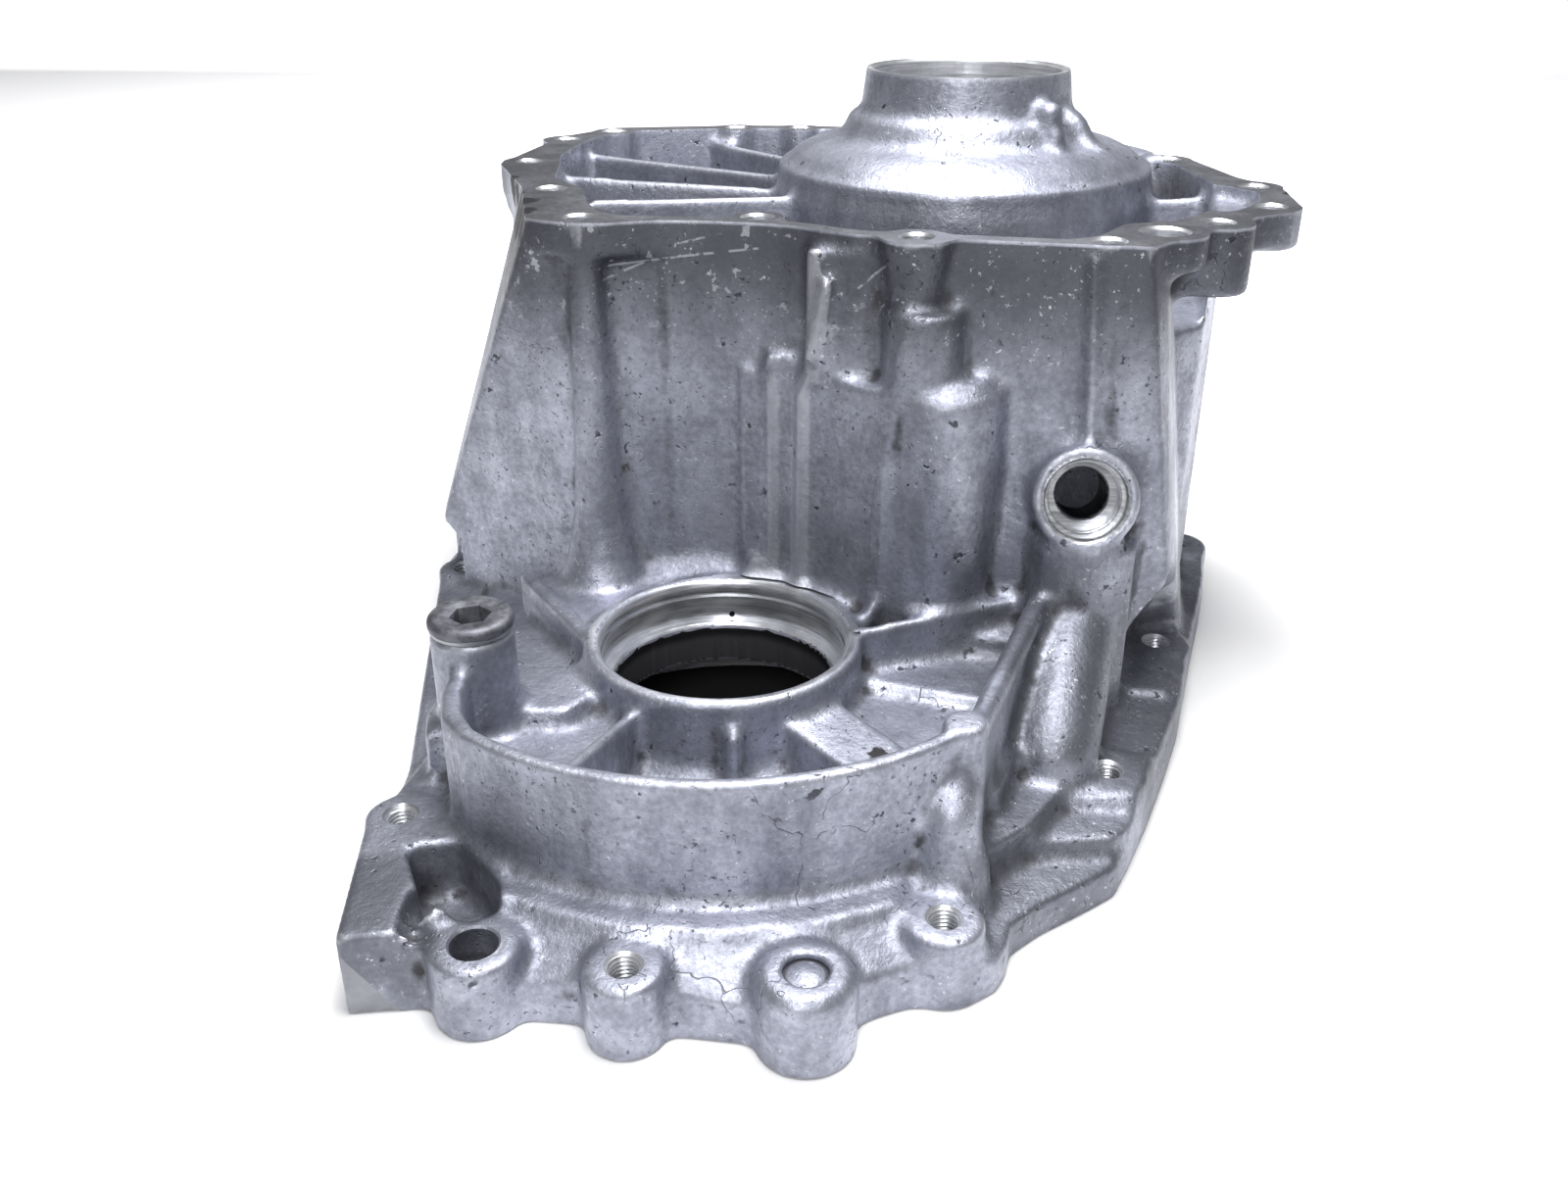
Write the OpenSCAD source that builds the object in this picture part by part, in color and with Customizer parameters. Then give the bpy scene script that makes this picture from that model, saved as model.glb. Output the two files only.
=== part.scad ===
// Transfer case housing: one half of a chain-driven transfer case,
// an aluminium casting with a joint face below, a bearing ring in a low bowl
// at the front and a tall tower that carries a second, upward flange,
// a dome and a bearing snout at the rear. All dimensions in millimetres.
// Plan positions are measured from the axis of the front bearing ring,
// heights from the joint face.

/* [Overall] */
// Width across the outermost lobes of the two flanges
width = 365.8; // [350:0.2:380]
// Length from the front lobe to the rear lobe of the joint flange
length = 493.1; // [475:0.1:510]
// Height of the snout end above the joint face
snout_h = 235.5; // [230:0.5:245]
// Height of the upper flange face
deck_h = 195; // [188:1:200]

/* [Axes] */
// Sideways distance from the front axis to the rear axis
axis_dx = 61.6; // [58:0.2:65]
// Distance from the front axis back to the rear axis
axis_dy = 197; // [192:0.5:202]

/* [Levels] */
// Thickness of the joint flange between its bosses
plate_h = 13; // [11:0.5:15]
// Height of the bolt bosses of the joint flange
boss_h = 25; // [24:0.5:27]
// Height of the machined corner block
block_h = 29; // [28:0.5:31]
// Height of the bowl floor
floor_h = 28; // [27:0.5:30]
// Height of the raised shelf left of the ring
shelf_h = 43; // [41:0.5:46]
// Height of the shelf between ring and tower
high_shelf_h = 52; // [50:0.5:54]
// Height of the bearing ring
ring_h = 57; // [55:0.5:60]
// Height of the bowl wall
lip_h = 70; // [67:0.5:74]
// Height of the wide foot of the tower
foot_h = 41; // [38:0.5:44]
// Floor of the recess in the upper flange
recess_floor = 150; // [146:1:156]
// Thickness of the upper flange
deck_t = 13; // [11:0.5:15]

/* [Walls] */
// General wall thickness of the casting
wall = 6; // [5:0.25:7]
// Thickness of the bowl wall
lip_t = 5.5; // [4.5:0.25:6.5]
// Thickness of the ribs
rib_t = 4.5; // [3.5:0.25:5.5]

/* [Front bearing ring] */
// Bore of the bearing seat
front_bore_d = 90; // [84:1:94]
// Wall of the ring beside the bore
ring_wall = 6.3; // [5.5:0.1:7.5]
// Depth of the bearing seat
seat_depth = 17; // [14:0.5:19]
// Width of the shoulder below the seat
seat_shoulder = 4; // [3:0.5:6]
// Outer radius of the bowl wall
bowl_r = 118.5; // [116:0.5:120]

/* [Rear snout] */
// Bore of the snout
snout_bore_d = 80; // [76:1:82]
// Wall of the snout
snout_wall = 3.6; // [3:0.1:4.6]
// Depth of the rear bearing seat below the snout end
rear_seat_depth = 19.5; // [17:0.5:21]
// Radius of the dome
dome_r = 83; // [80:0.5:85]

/* [Bolts] */
// Nominal thread of the joint bolts
thread_d = 10; // [8:1:12]
// Pitch of the joint thread
thread_pitch = 1.5; // [1.25:0.25:1.75]
// Radius of the front bolt lobes
lobe_r = 12.4; // [11.5:0.1:13.5]
// Clearance holes of the upper flange
clear_d = 11; // [9:0.5:12]
// Dowel hole of the upper flange
dowel_d = 16.6; // [15:0.2:18]

/* [Sensor boss] */
// Upward tilt of the sensor boss
sensor_tilt = 14; // [10:0.5:18]
// Turn of the sensor boss to the right
sensor_turn = 6; // [2:0.5:10]
// Outer radius of the sensor boss
sensor_r = 19.2; // [18.4:0.1:20]
// Bore for the sensor
sensor_bore_d = 18.5; // [16:0.5:20]
// Inner step of the counterbore
sensor_step_d = 25.6; // [23:0.2:27]
// Outer step of the counterbore
sensor_counterbore_d = 29; // [27.4:0.2:31]

/* [Filler plug] */
// Sideways place of the plug
plug_x = -72.9; // [-75:0.1:-71]
// Lengthwise place of the plug
plug_y = -54.4; // [-57:0.1:-52]
// Height of the plug boss
plug_boss_h = 79.5; // [76:0.5:84]
// Diameter of the plug head
plug_head_d = 29; // [27:0.5:31]
// Height of the plug head
plug_head_h = 4; // [3.5:0.25:6]
// Width across the flats of the key hole
plug_key = 12; // [10:1:14]
// Nominal thread of the plug
plug_thread_d = 24; // [22:1:25]
// Thickness of the washer under the head
washer_t = 1.6; // [1.2:0.1:2.4]

/* [Hidden] */
$fn = 64;
// Reach of a cut that goes past the surface it opens
past = 1;
// Core hole of the joint thread
thread_core_d = thread_d - 1.0825 * thread_pitch;
// Outer radii of the ring and the snout
ring_r = front_bore_d / 2 + ring_wall;
snout_r = snout_bore_d / 2 + snout_wall;
// Radius of the plug boss, just inside the head
plug_boss_r = plug_head_d / 2 - 0.3;
// Ceiling of the chain room, the level where upright webs start
room_h = floor_h - wall;
// Depth of the outer and of the whole counterbore of the sensor boss
step_depth = 8;
counterbore_depth = 18;
// Top of the dome and the height left for the neck above it
dome_top = deck_h + 17.5;
neck_h = snout_h - dome_top;

// The plan points below are listed for this spacing of the outermost lobe centres.
// Other widths and lengths spread them; lobes, bores and walls keep their size.
listed_span = [341, 466.2];
span = [width - 24.8, length - 26.9];
width_k = span[0] / listed_span[0];
length_k = span[1] / listed_span[1];
function spread(points) = [for (p = points)
    [for (i = [0:len(p) - 1]) p[i] * (i == 0 ? width_k : i == 1 ? length_k : 1)]];

// Bolts of the joint face: [x, y, lobe radius, top of the boss]
joint_bolts = spread([
    [-86.2, -93.6, 12, block_h],
    [6.5, -144, lobe_r, boss_h],
    [94.3, -104, lobe_r + 0.3, boss_h],
    [142, -12, 14, boss_h],
    [161, 89.5, 14, boss_h],
    [173.5, 194, 13.5, boss_h],
    [-148, 98, 11.6, boss_h],
    [-156, 190, 13, boss_h],
    [-133, 272, 13, boss_h],
    [-52, 315, 13, boss_h],
    [44, 322, 13, boss_h],
    [132, 284, 13, boss_h]]);
// Lobes without a bolt: [x, y, lobe radius]
cored_lobe = spread([[-39.3, -144.2, 13.9]])[0];
tall_lobe = spread([[58.5, -137, 15.2]])[0];

// Bolts of the upper flange: [x, y, lobe radius, boss depth below the face, hole depth]
deck_bolts = spread([
    [-65, 54.2, 10.4, 13, 24],
    [-95.5, 106.2, 12, 13, 24],
    [-128.8, 167.8, 12, 20, 21],
    [-134.4, 232, 12, 22, 23],
    [-120.5, 262.5, 10.5, 22, 23],
    [-63, 288, 10.5, 22, 23],
    [-31, 294, 10.5, 22, 23],
    [-1.3, 67.7, 11.2, 13, 24],
    [60.2, 46.3, 13.2, 4, 24],
    [125.2, 52.9, 8.4, 13, 24],
    [163.6, 93.2, 13.4, 25, 26],
    [185, 127.6, 11.8, 15, 16],
    [182, 169.8, 12, 15, 16],
    [150, 232, 11, 20, 21],
    [111, 279, 11, 20, 21],
    [38, 297, 10.5, 22, 23]]);
deck_dowel = spread([[144.3, 72.4, 15.4, 12, 14]])[0];

// Joint flange without its lobes, counter-clockwise from the machined corner
joint_outline = spread([
    [-77.6, -155.4], [-57.4, -148.2], [-26, -146.4], [-8, -144.6], [24, -143.2],
    [42, -142], [70, -130], [77, -124], [86, -117.6], [103, -113.8],
    [111.3, -105], [113.6, -98], [114.2, -88], [123, -76], [135.1, -63.6],
    [146.4, -51], [150.6, -37], [157.6, -10], [164.7, 22.7], [170.6, 53.6],
    [175, 90], [180, 128], [184.5, 160], [187, 190], [185.5, 214],
    [172, 250], [144, 294], [110, 316], [46, 332], [-56, 326],
    [-104, 308], [-143, 282], [-163, 236], [-168, 188], [-162, 100],
    [-120.6, -8], [-102.5, -57.5], [-97.5, -75.4], [-94.3, -84.9], [-97.2, -95.9]]);

// Body that stands on the flange, inside the bolt line
body_outline = spread([
    [-66, -98], [-40, -124], [-10, -131], [30, -129], [62, -116], [84, -92],
    [100, -76], [118, -52], [128, -28], [138, 8], [146, 60], [152, 100],
    [158, 150], [162, 190], [158, 226], [130, 266], [90, 296], [40, 306],
    [-50, 300], [-104, 280], [-136, 240], [-145, 190], [-141, 120],
    [-104, 10], [-88, -40]]);

// Front line of the tower: a shallow bay on the left, a flat on the right
front_run = [
    [-24, 56], [-6, 56.4], [10, 56], [19, 53.2], [27, 49], [38, 45.2], [49, 44.8],
    [98, 44.8], [128, 45.2], [140.4, 46]];
tower_plan = spread(concat([[-66, 54], [-58, 52.5], [-48, 53.4], [-36, 55]], front_run, [
    [144, 60], [147, 98], [166, 122], [172, 150], [171, 186], [158, 228], [130, 254],
    [106, 284], [40, 301], [-30, 298], [-64, 291], [-120, 268], [-131, 236],
    [-126, 160], [-100, 100]]));

// Left and right wings of the tower, at the upper flange and at the foot
left_wing_top = spread([
    [-84, 48.2], [-66, 49.5], [-58, 54], [-60, 200], [-112, 262], [-131, 236],
    [-131, 190], [-126, 158], [-106, 100]]);
left_wing_foot = spread([
    [-155, 90], [-66, 56], [-58, 60], [-60, 250], [-110, 282], [-141, 246],
    [-152, 190], [-158, 130]]);
right_wing_top = spread([[127, 45.4], [140.2, 46.2], [145, 60], [148, 98], [120, 110]]);
right_wing_foot = spread([
    [129, 46], [165, 49], [171, 104], [172, 124], [172, 170], [120, 170]]);

// Upper flange, scalloped between the lobes on the right
deck_outline = spread(concat([
    [-84.2, 47.8], [-73, 43.6], [-62, 42.6], [-53, 44.6], [-45, 49], [-36, 53.4]], front_run, [
    [149, 61], [157.5, 76.5], [166, 82.5], [174, 91], [176.4, 103.5], [184.5, 111],
    [193, 117.4], [196.4, 131], [194.8, 150], [194, 162], [189, 172], [177, 190],
    [172, 203], [160, 234], [146, 243], [118, 286], [98, 294], [44, 304.6],
    [-30, 301.6], [-66, 295], [-124, 274], [-140, 240], [-139, 158], [-107, 104]]));
recess_outline = spread([
    [-62, 65], [-52, 59.6], [-36, 61.4], [-14, 62.6], [10, 62], [22, 59],
    [32, 54], [42, 51.6], [112, 52], [122, 60], [131, 83], [149, 91],
    [155, 101], [165, 120], [167, 134], [166, 178], [152, 222], [126, 249],
    [102, 278], [40, 295], [-30, 292], [-64, 285], [-116, 264], [-125, 234],
    [-121, 186], [-112, 160], [-103, 130], [-82, 106], [-72, 82]]);

// Outermost points of the whole part in plan, used to centre it
left_reach = joint_bolts[7][0] - joint_bolts[7][2];
right_reach = deck_bolts[11][0] + deck_bolts[11][2];
front_reach = cored_lobe[1] - cored_lobe[2];
rear_reach = joint_bolts[10][1] + joint_bolts[10][2];
home = [-(left_reach + right_reach) / 2, -(front_reach + rear_reach) / 2, 0];

// Children at a place in plan
module at(p, z = 0) {
    translate([p[0], p[1], z]) children();
}

// Children at a listed plan point, which moves with the overall size
module on_plan(p, z = 0) {
    at([p[0] * width_k, p[1] * length_k], z) children();
}

// Upright prism over a list of listed plan points
module prism(points, z0, z1) {
    translate([0, 0, z0])
        linear_extrude(z1 - z0)
            polygon(spread(points));
}

// Wall between two plan points whose top edge slopes from za to zb
module sloped_wall(from, to, t, z0, za, zb) {
    a = spread([from])[0];
    d = spread([to])[0] - a;
    translate([a[0], a[1], 0])
        rotate([0, 0, atan2(d[1], d[0])])
            translate([0, t / 2, 0])
                rotate([90, 0, 0])
                    linear_extrude(t)
                        polygon([[0, z0], [norm(d), z0], [norm(d), zb], [0, za]]);
}

// Round bar from one space point to another
module bar(from, to, r) {
    a = spread([from])[0];
    d = spread([to])[0] - a;
    l = norm(d);
    translate(a)
        rotate([0, acos(d[2] / l), atan2(d[1], d[0])])
            cylinder(r = r, h = l);
}

// Upright post with a round head
module round_post(r, h) {
    cylinder(r = r, h = h);
    translate([0, 0, h]) sphere(r = r);
}

// Joint flange: plate, bolt lobes, the band between them and the pads
module joint_flange() {
    linear_extrude(plate_h) polygon(joint_outline);
    for (b = joint_bolts) at(b) cylinder(r = b[2], h = b[3] - 0.05);
    at(cored_lobe) cylinder(r = cored_lobe[2], h = boss_h);
    at(tall_lobe) {
        cylinder(r = tall_lobe[2], h = boss_h - 1);
        translate([0, 0, boss_h - 1.02])
            cylinder(r1 = tall_lobe[2], r2 = tall_lobe[2] - 3, h = 3);
    }
    front_band();
    flange_pads();
}

// Sloping band between the front lobes and the terrace
module front_band() {
    intersection() {
        translate([0, 0, plate_h - 1])
            cylinder(r1 = bowl_r + 32.5, r2 = bowl_r + 15.5, h = boss_h - plate_h - 1);
        prism([
            [-57, -148], [-26, -146.2], [-8, -144.4], [24, -143], [42, -141.8], [70, -129.8],
            [77, -123.8], [86, -117.4], [96, -114], [98, -80], [0, -90], [-60, -96]], 0, boss_h + 15);
    }
}

// Flat pads on the outer band of the flange
module flange_pads() {
    prism([[82, -108], [104, -110], [104, -78], [78, -84]], 0, boss_h - 2.2);
    prism([[102, -58.5], [145, -46], [150.4, -37], [157, -10], [118, -8]], 0, boss_h - 5);
    prism([[128, -32], [151.8, -27], [156, -12], [157.8, 2], [126, 4]], 0, boss_h - 0.8);
    prism([
        [126, -8], [157, -8], [170.2, 53], [174.6, 92], [184, 160], [186, 192], [184, 212],
        [150, 214], [130, 60]], 0, boss_h - 3.2);
    prism([
        [-120, -9], [-102, -57], [-97, -78], [-80, -70], [-90, 0], [-130, 190],
        [-166.5, 188], [-160.8, 100]], 0, boss_h - 3.4);
}

// Machined block at the left front corner
module corner_block() {
    difference() {
        prism([
            [-77.6, -155.4], [-57.6, -148.4], [-57, -141], [-36, -126],
            [-48, -106], [-74, -82], [-94.3, -84.9], [-97.2, -95.9]], 0, block_h);
        // the spot face round the cored hole stays at boss height
        at(cored_lobe, boss_h) cylinder(r = cored_lobe[2] + 1.5, h = 8);
    }
}

// Cast pocket behind the corner block
module corner_pocket() {
    prism([
        [-77, -109.5], [-61, -103], [-41, -119], [-38.5, -126], [-40, -131],
        [-55, -133], [-60, -134], [-65.5, -126]], 7, block_h + 8);
    prism([[-66, -128], [-56, -130], [-57.6, -148], [-61, -150], [-63.5, -142]],
        boss_h - 4, block_h + 12);
    prism([[-62, -104], [-41, -120], [-38, -128], [-44, -134], [-58, -134]],
        boss_h - 7, block_h + 9);
}

// Bowl: floor of the body, terrace, shelves at their levels and the wall
module bowl() {
    linear_extrude(floor_h - 1.5) polygon(body_outline);
    intersection() {
        cylinder(r = bowl_r + 12.5, h = floor_h - 0.5);
        prism([[-95, -150], [80, -150], [80, -30], [-95, -30]], 0, floor_h + 30);
    }
    // raised shelf on the left, between ring, plug boss and bowl wall
    prism([
        [-24, -40], [-24, -112], [-58, -100], [-78, -72], [-92, -40],
        [-104, 4], [-98, 14], [-60, 44], [-40, 44], [-30, 20]], 0, shelf_h);
    // shelf between the ring, the left web and the tower
    prism([[-46, 4], [-92, 36], [-80, 48], [-20, 60], [10, 60], [10, 40]], 0, high_shelf_h);
    // floor between the ring and the rod-shaped rib, in two levels
    prism([[30, 30], [52, 4], [98, -2], [112, 0], [120, 60], [30, 60]], 0, shelf_h - 1.5);
    prism([[50, 10], [52, -22], [96, -50], [106, -52], [116, 10]], 0, shelf_h - 5.5);
    bowl_wall();
}

// Wall of the bowl, open towards the tower
module bowl_wall() {
    difference() {
        cylinder(r = bowl_r, h = lip_h);
        translate([0, 0, -past]) cylinder(r = bowl_r - lip_t, h = lip_h + 2 * past);
        linear_extrude(lip_h + 2)
            polygon([
                [-60, -104.6], [0, 0], [96, -69.5], [160, -69.5],
                [160, 160], [-160, 160], [-160, -60], [-120, -104.6]]);
    }
    // left end: the wall turns in to the plug boss
    linear_extrude(lip_h)
        polygon([
            [-56, -104.4], [-54, -99.4], [-61.5, -90.5], [-67, -78], [-69, -64],
            [-76.5, -62], [-73.4, -80.5], [-67.4, -94.5]]);
    // right end: rounded post, and a round-headed column outside it
    at([94.6, -65.6]) cylinder(r = 7.4, h = lip_h + 1.2);
    at([92, -74]) round_post(10.5, lip_h - 24);
}

// Bearing ring with its root fillet
module bearing_ring() {
    translate([0, 0, room_h]) cylinder(r = ring_r, h = ring_h - 1.5 - room_h);
    translate([0, 0, ring_h - 1.5]) cylinder(r1 = ring_r, r2 = ring_r - 1.5, h = 1.5);
    translate([0, 0, floor_h - 4]) cylinder(r1 = ring_r + 6.5, r2 = ring_r, h = 9);
    ring_webs();
}

// Webs, pads and ribs that stiffen the ring
module ring_webs() {
    at([16.4, -50.6], room_h + 1) round_post(3.4, floor_h - 6);
    sloped_wall([-21, -46], [-20.5, -115], rib_t, room_h + 1, ring_h - 9, lip_h - 2);
    sloped_wall([-44, -14], [-90, 34], rib_t + 2, shelf_h - wall + 1, ring_h - 1, ring_h + 1);
    sloped_wall([46, 10], [113, 47], rib_t - 0.5, room_h + 1, ring_h + 1, lip_h - 7);
    // sloped block at the front right of the ring
    intersection() {
        rotate([0, 0, -38])
            translate([44, -12.5, floor_h - 2.5])
                rotate([0, 4, 0])
                    cube([44, 25, ring_h - 35.5]);
        cylinder(r = 100, h = lip_h);
    }
    // flat pad between the ring and the plug boss
    prism([[-70, -26], [-46, -20], [-38, -44], [-42, -53], [-60, -57], [-71.6, -37]],
        shelf_h - wall + 1, shelf_h + 7);
    // rod-shaped rib from the bowl wall to the sensor column, on a thin web
    bar([97, -67, lip_h - 4.5], [116, 50, lip_h - 3], 4.2);
    sloped_wall([98, -66], [114.5, 42], rib_t + 0.1, room_h + 1, lip_h - 5, lip_h - 5);
}

// Boss of the filler plug, with its outer flank
module plug_boss() {
    at([plug_x, plug_y]) {
        cylinder(r = plug_boss_r, h = plug_boss_h);
        translate([0, 0, floor_h - 2])
            cylinder(r1 = plug_boss_r + 5, r2 = plug_boss_r, h = 16);
    }
    prism([[-92, -58], [-86, -72], [-76, -66], [-70, -40], [-96, -20]], 0, shelf_h + 3);
}

// Tower with leaning wings on both sides
module tower_body() {
    translate([0, 0, plate_h + 11])
        linear_extrude(deck_h - deck_t - plate_h - 10)
            polygon(tower_plan);
    hull() {
        translate([0, 0, deck_h - 3]) linear_extrude(2) polygon(left_wing_top);
        translate([0, 0, foot_h - 1]) linear_extrude(2) polygon(left_wing_foot);
    }
    linear_extrude(foot_h) polygon(left_wing_foot);
    hull() {
        translate([0, 0, deck_h - 3]) linear_extrude(2) polygon(right_wing_top);
        translate([0, 0, plate_h + 11]) linear_extrude(2) polygon(right_wing_foot);
    }
    // the rear quarter widens towards the joint flange
    prism([
        [140, 100], [164, 110], [172, 150], [171, 196], [158, 240], [128, 270],
        [90, 298], [40, 306], [-50, 302], [-108, 282], [-100, 100]], 0, foot_h + 19);
}

// Room for the bolt head above the left joint bolt and behind the right one
module bolt_scoops() {
    at(joint_bolts[6], boss_h) round_post(13, 18);
    on_plan([178, 57], boss_h - 0.6) cylinder(r1 = 49, r2 = 4, h = 72);
}

// Rib below the left front bolt: a slim column that flares into a wide foot,
// with a thin ridge beside it on the leaning wing
module left_rib() {
    on_plan([-62.6, 49.4])
        rotate_extrude()
            polygon([
                [0, foot_h - 17], [31, foot_h - 17], [24.5, foot_h + 3], [18.5, foot_h + 11],
                [14, foot_h + 21], [10.8, foot_h + 37], [8.6, foot_h + 62], [7.4, foot_h + 95],
                [6.4, deck_h - 30], [6.2, deck_h - deck_t + 1], [0, deck_h - deck_t + 1]]);
    bar([-71.2, 49.3, deck_h - 17], [-83, 59.6, foot_h + 25], 1.7);
}

// Stepped pads and cast ribs in the middle of the front wall
module wall_pads() {
    prism([[-5.5, 52.9], [10.5, 52.9], [10.5, 61], [-5.5, 61]], foot_h - 1, deck_h - 54);
    prism([[4.6, 50.7], [18.6, 50.7], [18.6, 59], [4.6, 59]], foot_h - 1, deck_h - 47);
    prism([[17.8, 47.8], [24, 46], [52, 31.5], [60, 31], [60, 50], [17.8, 56]], 0, deck_h - 52);
    for (x = [8, 13.2]) bar([x, 51, foot_h + 20], [x + 0.4, 50.8, deck_h - 56], 1.5);
    bar([19.4, 47, foot_h + 19], [19.8, 46.6, deck_h - 58], 2.2);
    // faint pad with a slanting bar
    prism([[21.2, 43.7], [45.6, 43.7], [45.6, 54], [21.2, 54]], deck_h - 55, deck_h - 6);
    bar([23.3, 42.9, deck_h - 47], [29.4, 42.5, deck_h - 16], 2.4);
    // small oval pad at the foot of the wall
    translate([1.6 * width_k, 60 * length_k, foot_h + 20.5])
        rotate([90, 0, 0])
            cylinder(r = 4.2, h = 10);
}

// Bottle-shaped boss, the lobe that fades into the wall above it and its seam
module bottle_boss() {
    at(deck_bolts[8], deck_h - 35) cylinder(r1 = 7.5, r2 = deck_bolts[8][2], h = 32);
    on_plan([64.3, 43]) {
        cylinder(r = 14.2, h = deck_h - 26);
        translate([0, 0, deck_h - 26.02]) cylinder(r1 = 14.2, r2 = 12.4, h = 2);
    }
    on_plan([73.5, 46.5]) {
        translate([0, 0, foot_h - 1]) cylinder(r1 = 17, r2 = 21.6, h = 70);
        translate([0, 0, foot_h + 68.9]) cylinder(r = 21.6, h = deck_h - foot_h - 123);
        translate([0, 0, deck_h - 54.12]) cylinder(r1 = 21.6, r2 = 15, h = 6);
    }
    bar([52.3, 31.5, ring_h - 7], [53, 31.2, foot_h + 71], 2);
    bar([53, 31.2, foot_h + 70], [59.5, 30, deck_h - 31], 1.8);
    on_plan([53, 31.2], foot_h + 70.5) sphere(r = 2.6);
    bar([46, 24, ring_h - 11], [52.4, 31.5, ring_h + 5], 2.6);
    // slim rib above the sensor boss
    bar([121, 45, deck_h - 5], [126, 44.4, 120], 2.4);
}

// Hollow fillet where the front wall meets the bowl
module wall_foot() {
    translate([-60 * width_k, 60 * length_k, floor_h - 4])
        rotate([90, 0, 90])
            linear_extrude(170 * width_k)
                polygon([
                    [-30, 0], [0, 0], [0, 40], [-5, 36.5], [-8, 33.5], [-12, 30.6],
                    [-18, 28], [-30, 26]]);
}

// Children in the frame of the sensor boss, the axis pointing out along +z
module sensor_place() {
    on_plan([126.2, 32], 107.7)
        rotate([0, 0, sensor_turn])
            rotate([90 - sensor_tilt, 0, 0])
                children();
}

// Sensor boss, the column below it and the ridge that runs down and forward
module sensor_boss() {
    sensor_place() {
        translate([0, 0, -34]) cylinder(r = sensor_r, h = 33);
        translate([0, 0, -1.02]) cylinder(r1 = sensor_r, r2 = sensor_r - 1, h = 1.02);
    }
    prism([
        [107.5, 50], [108, 36], [113, 29], [120, 26.5], [132, 26.5], [140, 29],
        [145.5, 36], [146, 50]], 0, 89);
    bar([126.5, 46, foot_h + 17], [122, -12, floor_h + 2], 16.5);
    on_plan([122, -12], floor_h + 2) sphere(r = 16.2);
    on_plan([130.5, -14]) cylinder(r = 7, h = floor_h + 5);
}

// Upper flange with its lobes and the lugs below them
module deck() {
    translate([0, 0, deck_h - deck_t]) linear_extrude(deck_t) polygon(deck_outline);
    for (b = deck_bolts) at(b, deck_h - b[3]) cylinder(r = b[2], h = b[3]);
    at(deck_dowel, deck_h - deck_dowel[3]) cylinder(r = deck_dowel[2], h = deck_dowel[3]);
    // lugs that hang below the right edge
    prism([[146, 80], [158, 80], [168, 84], [175, 94], [172, 110], [158, 120], [147, 104]],
        deck_h - 25, deck_h - 5);
    prism([[160, 108], [180, 113], [193, 124], [190, 150], [170, 150], [160, 130]],
        deck_h - 15, deck_h - 3);
    // thick left corner
    prism([[-106, 100], [-137.4, 158], [-138.6, 168], [-130, 178], [-118, 176], [-100, 110]],
        deck_h - 20, deck_h - 4);
}

// Dome, stepped neck and snout, turned about the rear axis
module dome_outside() {
    at([axis_dx, axis_dy]) {
        rotate_extrude()
            polygon([
                [0, recess_floor - wall], [dome_r, recess_floor - wall], [dome_r, deck_h - 15],
                [dome_r - 0.5, deck_h - 9], [dome_r - 1.8, deck_h - 3.5], [dome_r - 4.4, deck_h + 2],
                [dome_r - 9.5, deck_h + 7], [dome_r - 17, deck_h + 10.6], [dome_r - 24.5, deck_h + 12.4],
                [snout_r + 12.9, deck_h + 13.3], [snout_r + 10, deck_h + 14.6], [snout_r + 8.6, dome_top],
                [snout_r + 6.4, dome_top + neck_h * 0.2], [snout_r + 2.2, dome_top + neck_h * 0.26],
                [snout_r + 1.4, dome_top + neck_h * 0.41], [snout_r, snout_h - 2],
                [snout_r - 0.8, snout_h], [0, snout_h]]);
        // upright pillar on the right of the collar, with a web behind it
        rotate([0, 0, -42]) translate([snout_r + 5.9, 0, deck_h - 5]) {
            round_post(5.6, snout_h - deck_h - 9.5);
            translate([4, 0, 0]) cylinder(r = 4.4, h = 25);
        }
        rotate([0, 0, -20]) translate([40, 4, deck_h]) rotate([90, 0, 0]) linear_extrude(8)
            polygon([[0, 5], [36, 5], [24, 12.5], [19, 15], [14, 23], [8, 27], [0, 29]]);
    }
}

// Room inside the dome, up to the lip below the rear bearing seat
module dome_inside() {
    at([axis_dx, axis_dy])
        rotate_extrude()
            polygon([
                [0, 60], [dome_r - wall, 60], [dome_r - wall, deck_h - 11], [dome_r - wall - 4, deck_h - 3],
                [dome_r - wall - 12, deck_h + 2.5], [58, deck_h + 6], [44, deck_h + 7.6],
                [snout_bore_d / 2 - 2, deck_h + 10], [snout_bore_d / 2 - 2, snout_h - rear_seat_depth - 1.5],
                [0, snout_h - rear_seat_depth - 1.5]]);
}

// Radial ribs in the recess of the upper flange: [from, to, heights below the face]
module recess_ribs() {
    ribs = [
        [[-10, 192], [-132, 236], 7, 6.5], [[-12, 167], [-124, 170], 8, 6],
        [[0, 150], [-84, 118], 7, 6.5], [[-14, 238], [-84, 290], 8, 6],
        [[130, 177], [170, 183], 9, 7], [[112, 258], [140, 288], 9, 7],
        [[56, 270], [54, 302], 9, 7]];
    for (r = ribs) sloped_wall(r[0], r[1], rib_t, recess_floor - 4, deck_h - r[2], deck_h - r[3]);
}

// Hollow under the bowl: room for the sprocket and the chain, open at the joint face
module front_hollow() {
    prism([
        [-58, -84], [-36, -108], [-8, -116], [26, -114], [54, -102], [74, -80],
        [92, -62], [106, -40], [118, -8], [126, 30], [130, 80], [-98, 92],
        [-90, 10], [-76, -40]], -past, room_h);
    // deeper room below the raised shelf; the filler hole opens into it
    difference() {
        prism([
            [-34, -40], [-34, -94], [-56, -86], [-68, -64], [-80, -34], [-88, 8],
            [-60, 30], [-34, 20]], -past, shelf_h - wall);
        translate([0, 0, room_h]) cylinder(r = ring_r, h = shelf_h);
    }
}

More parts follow.
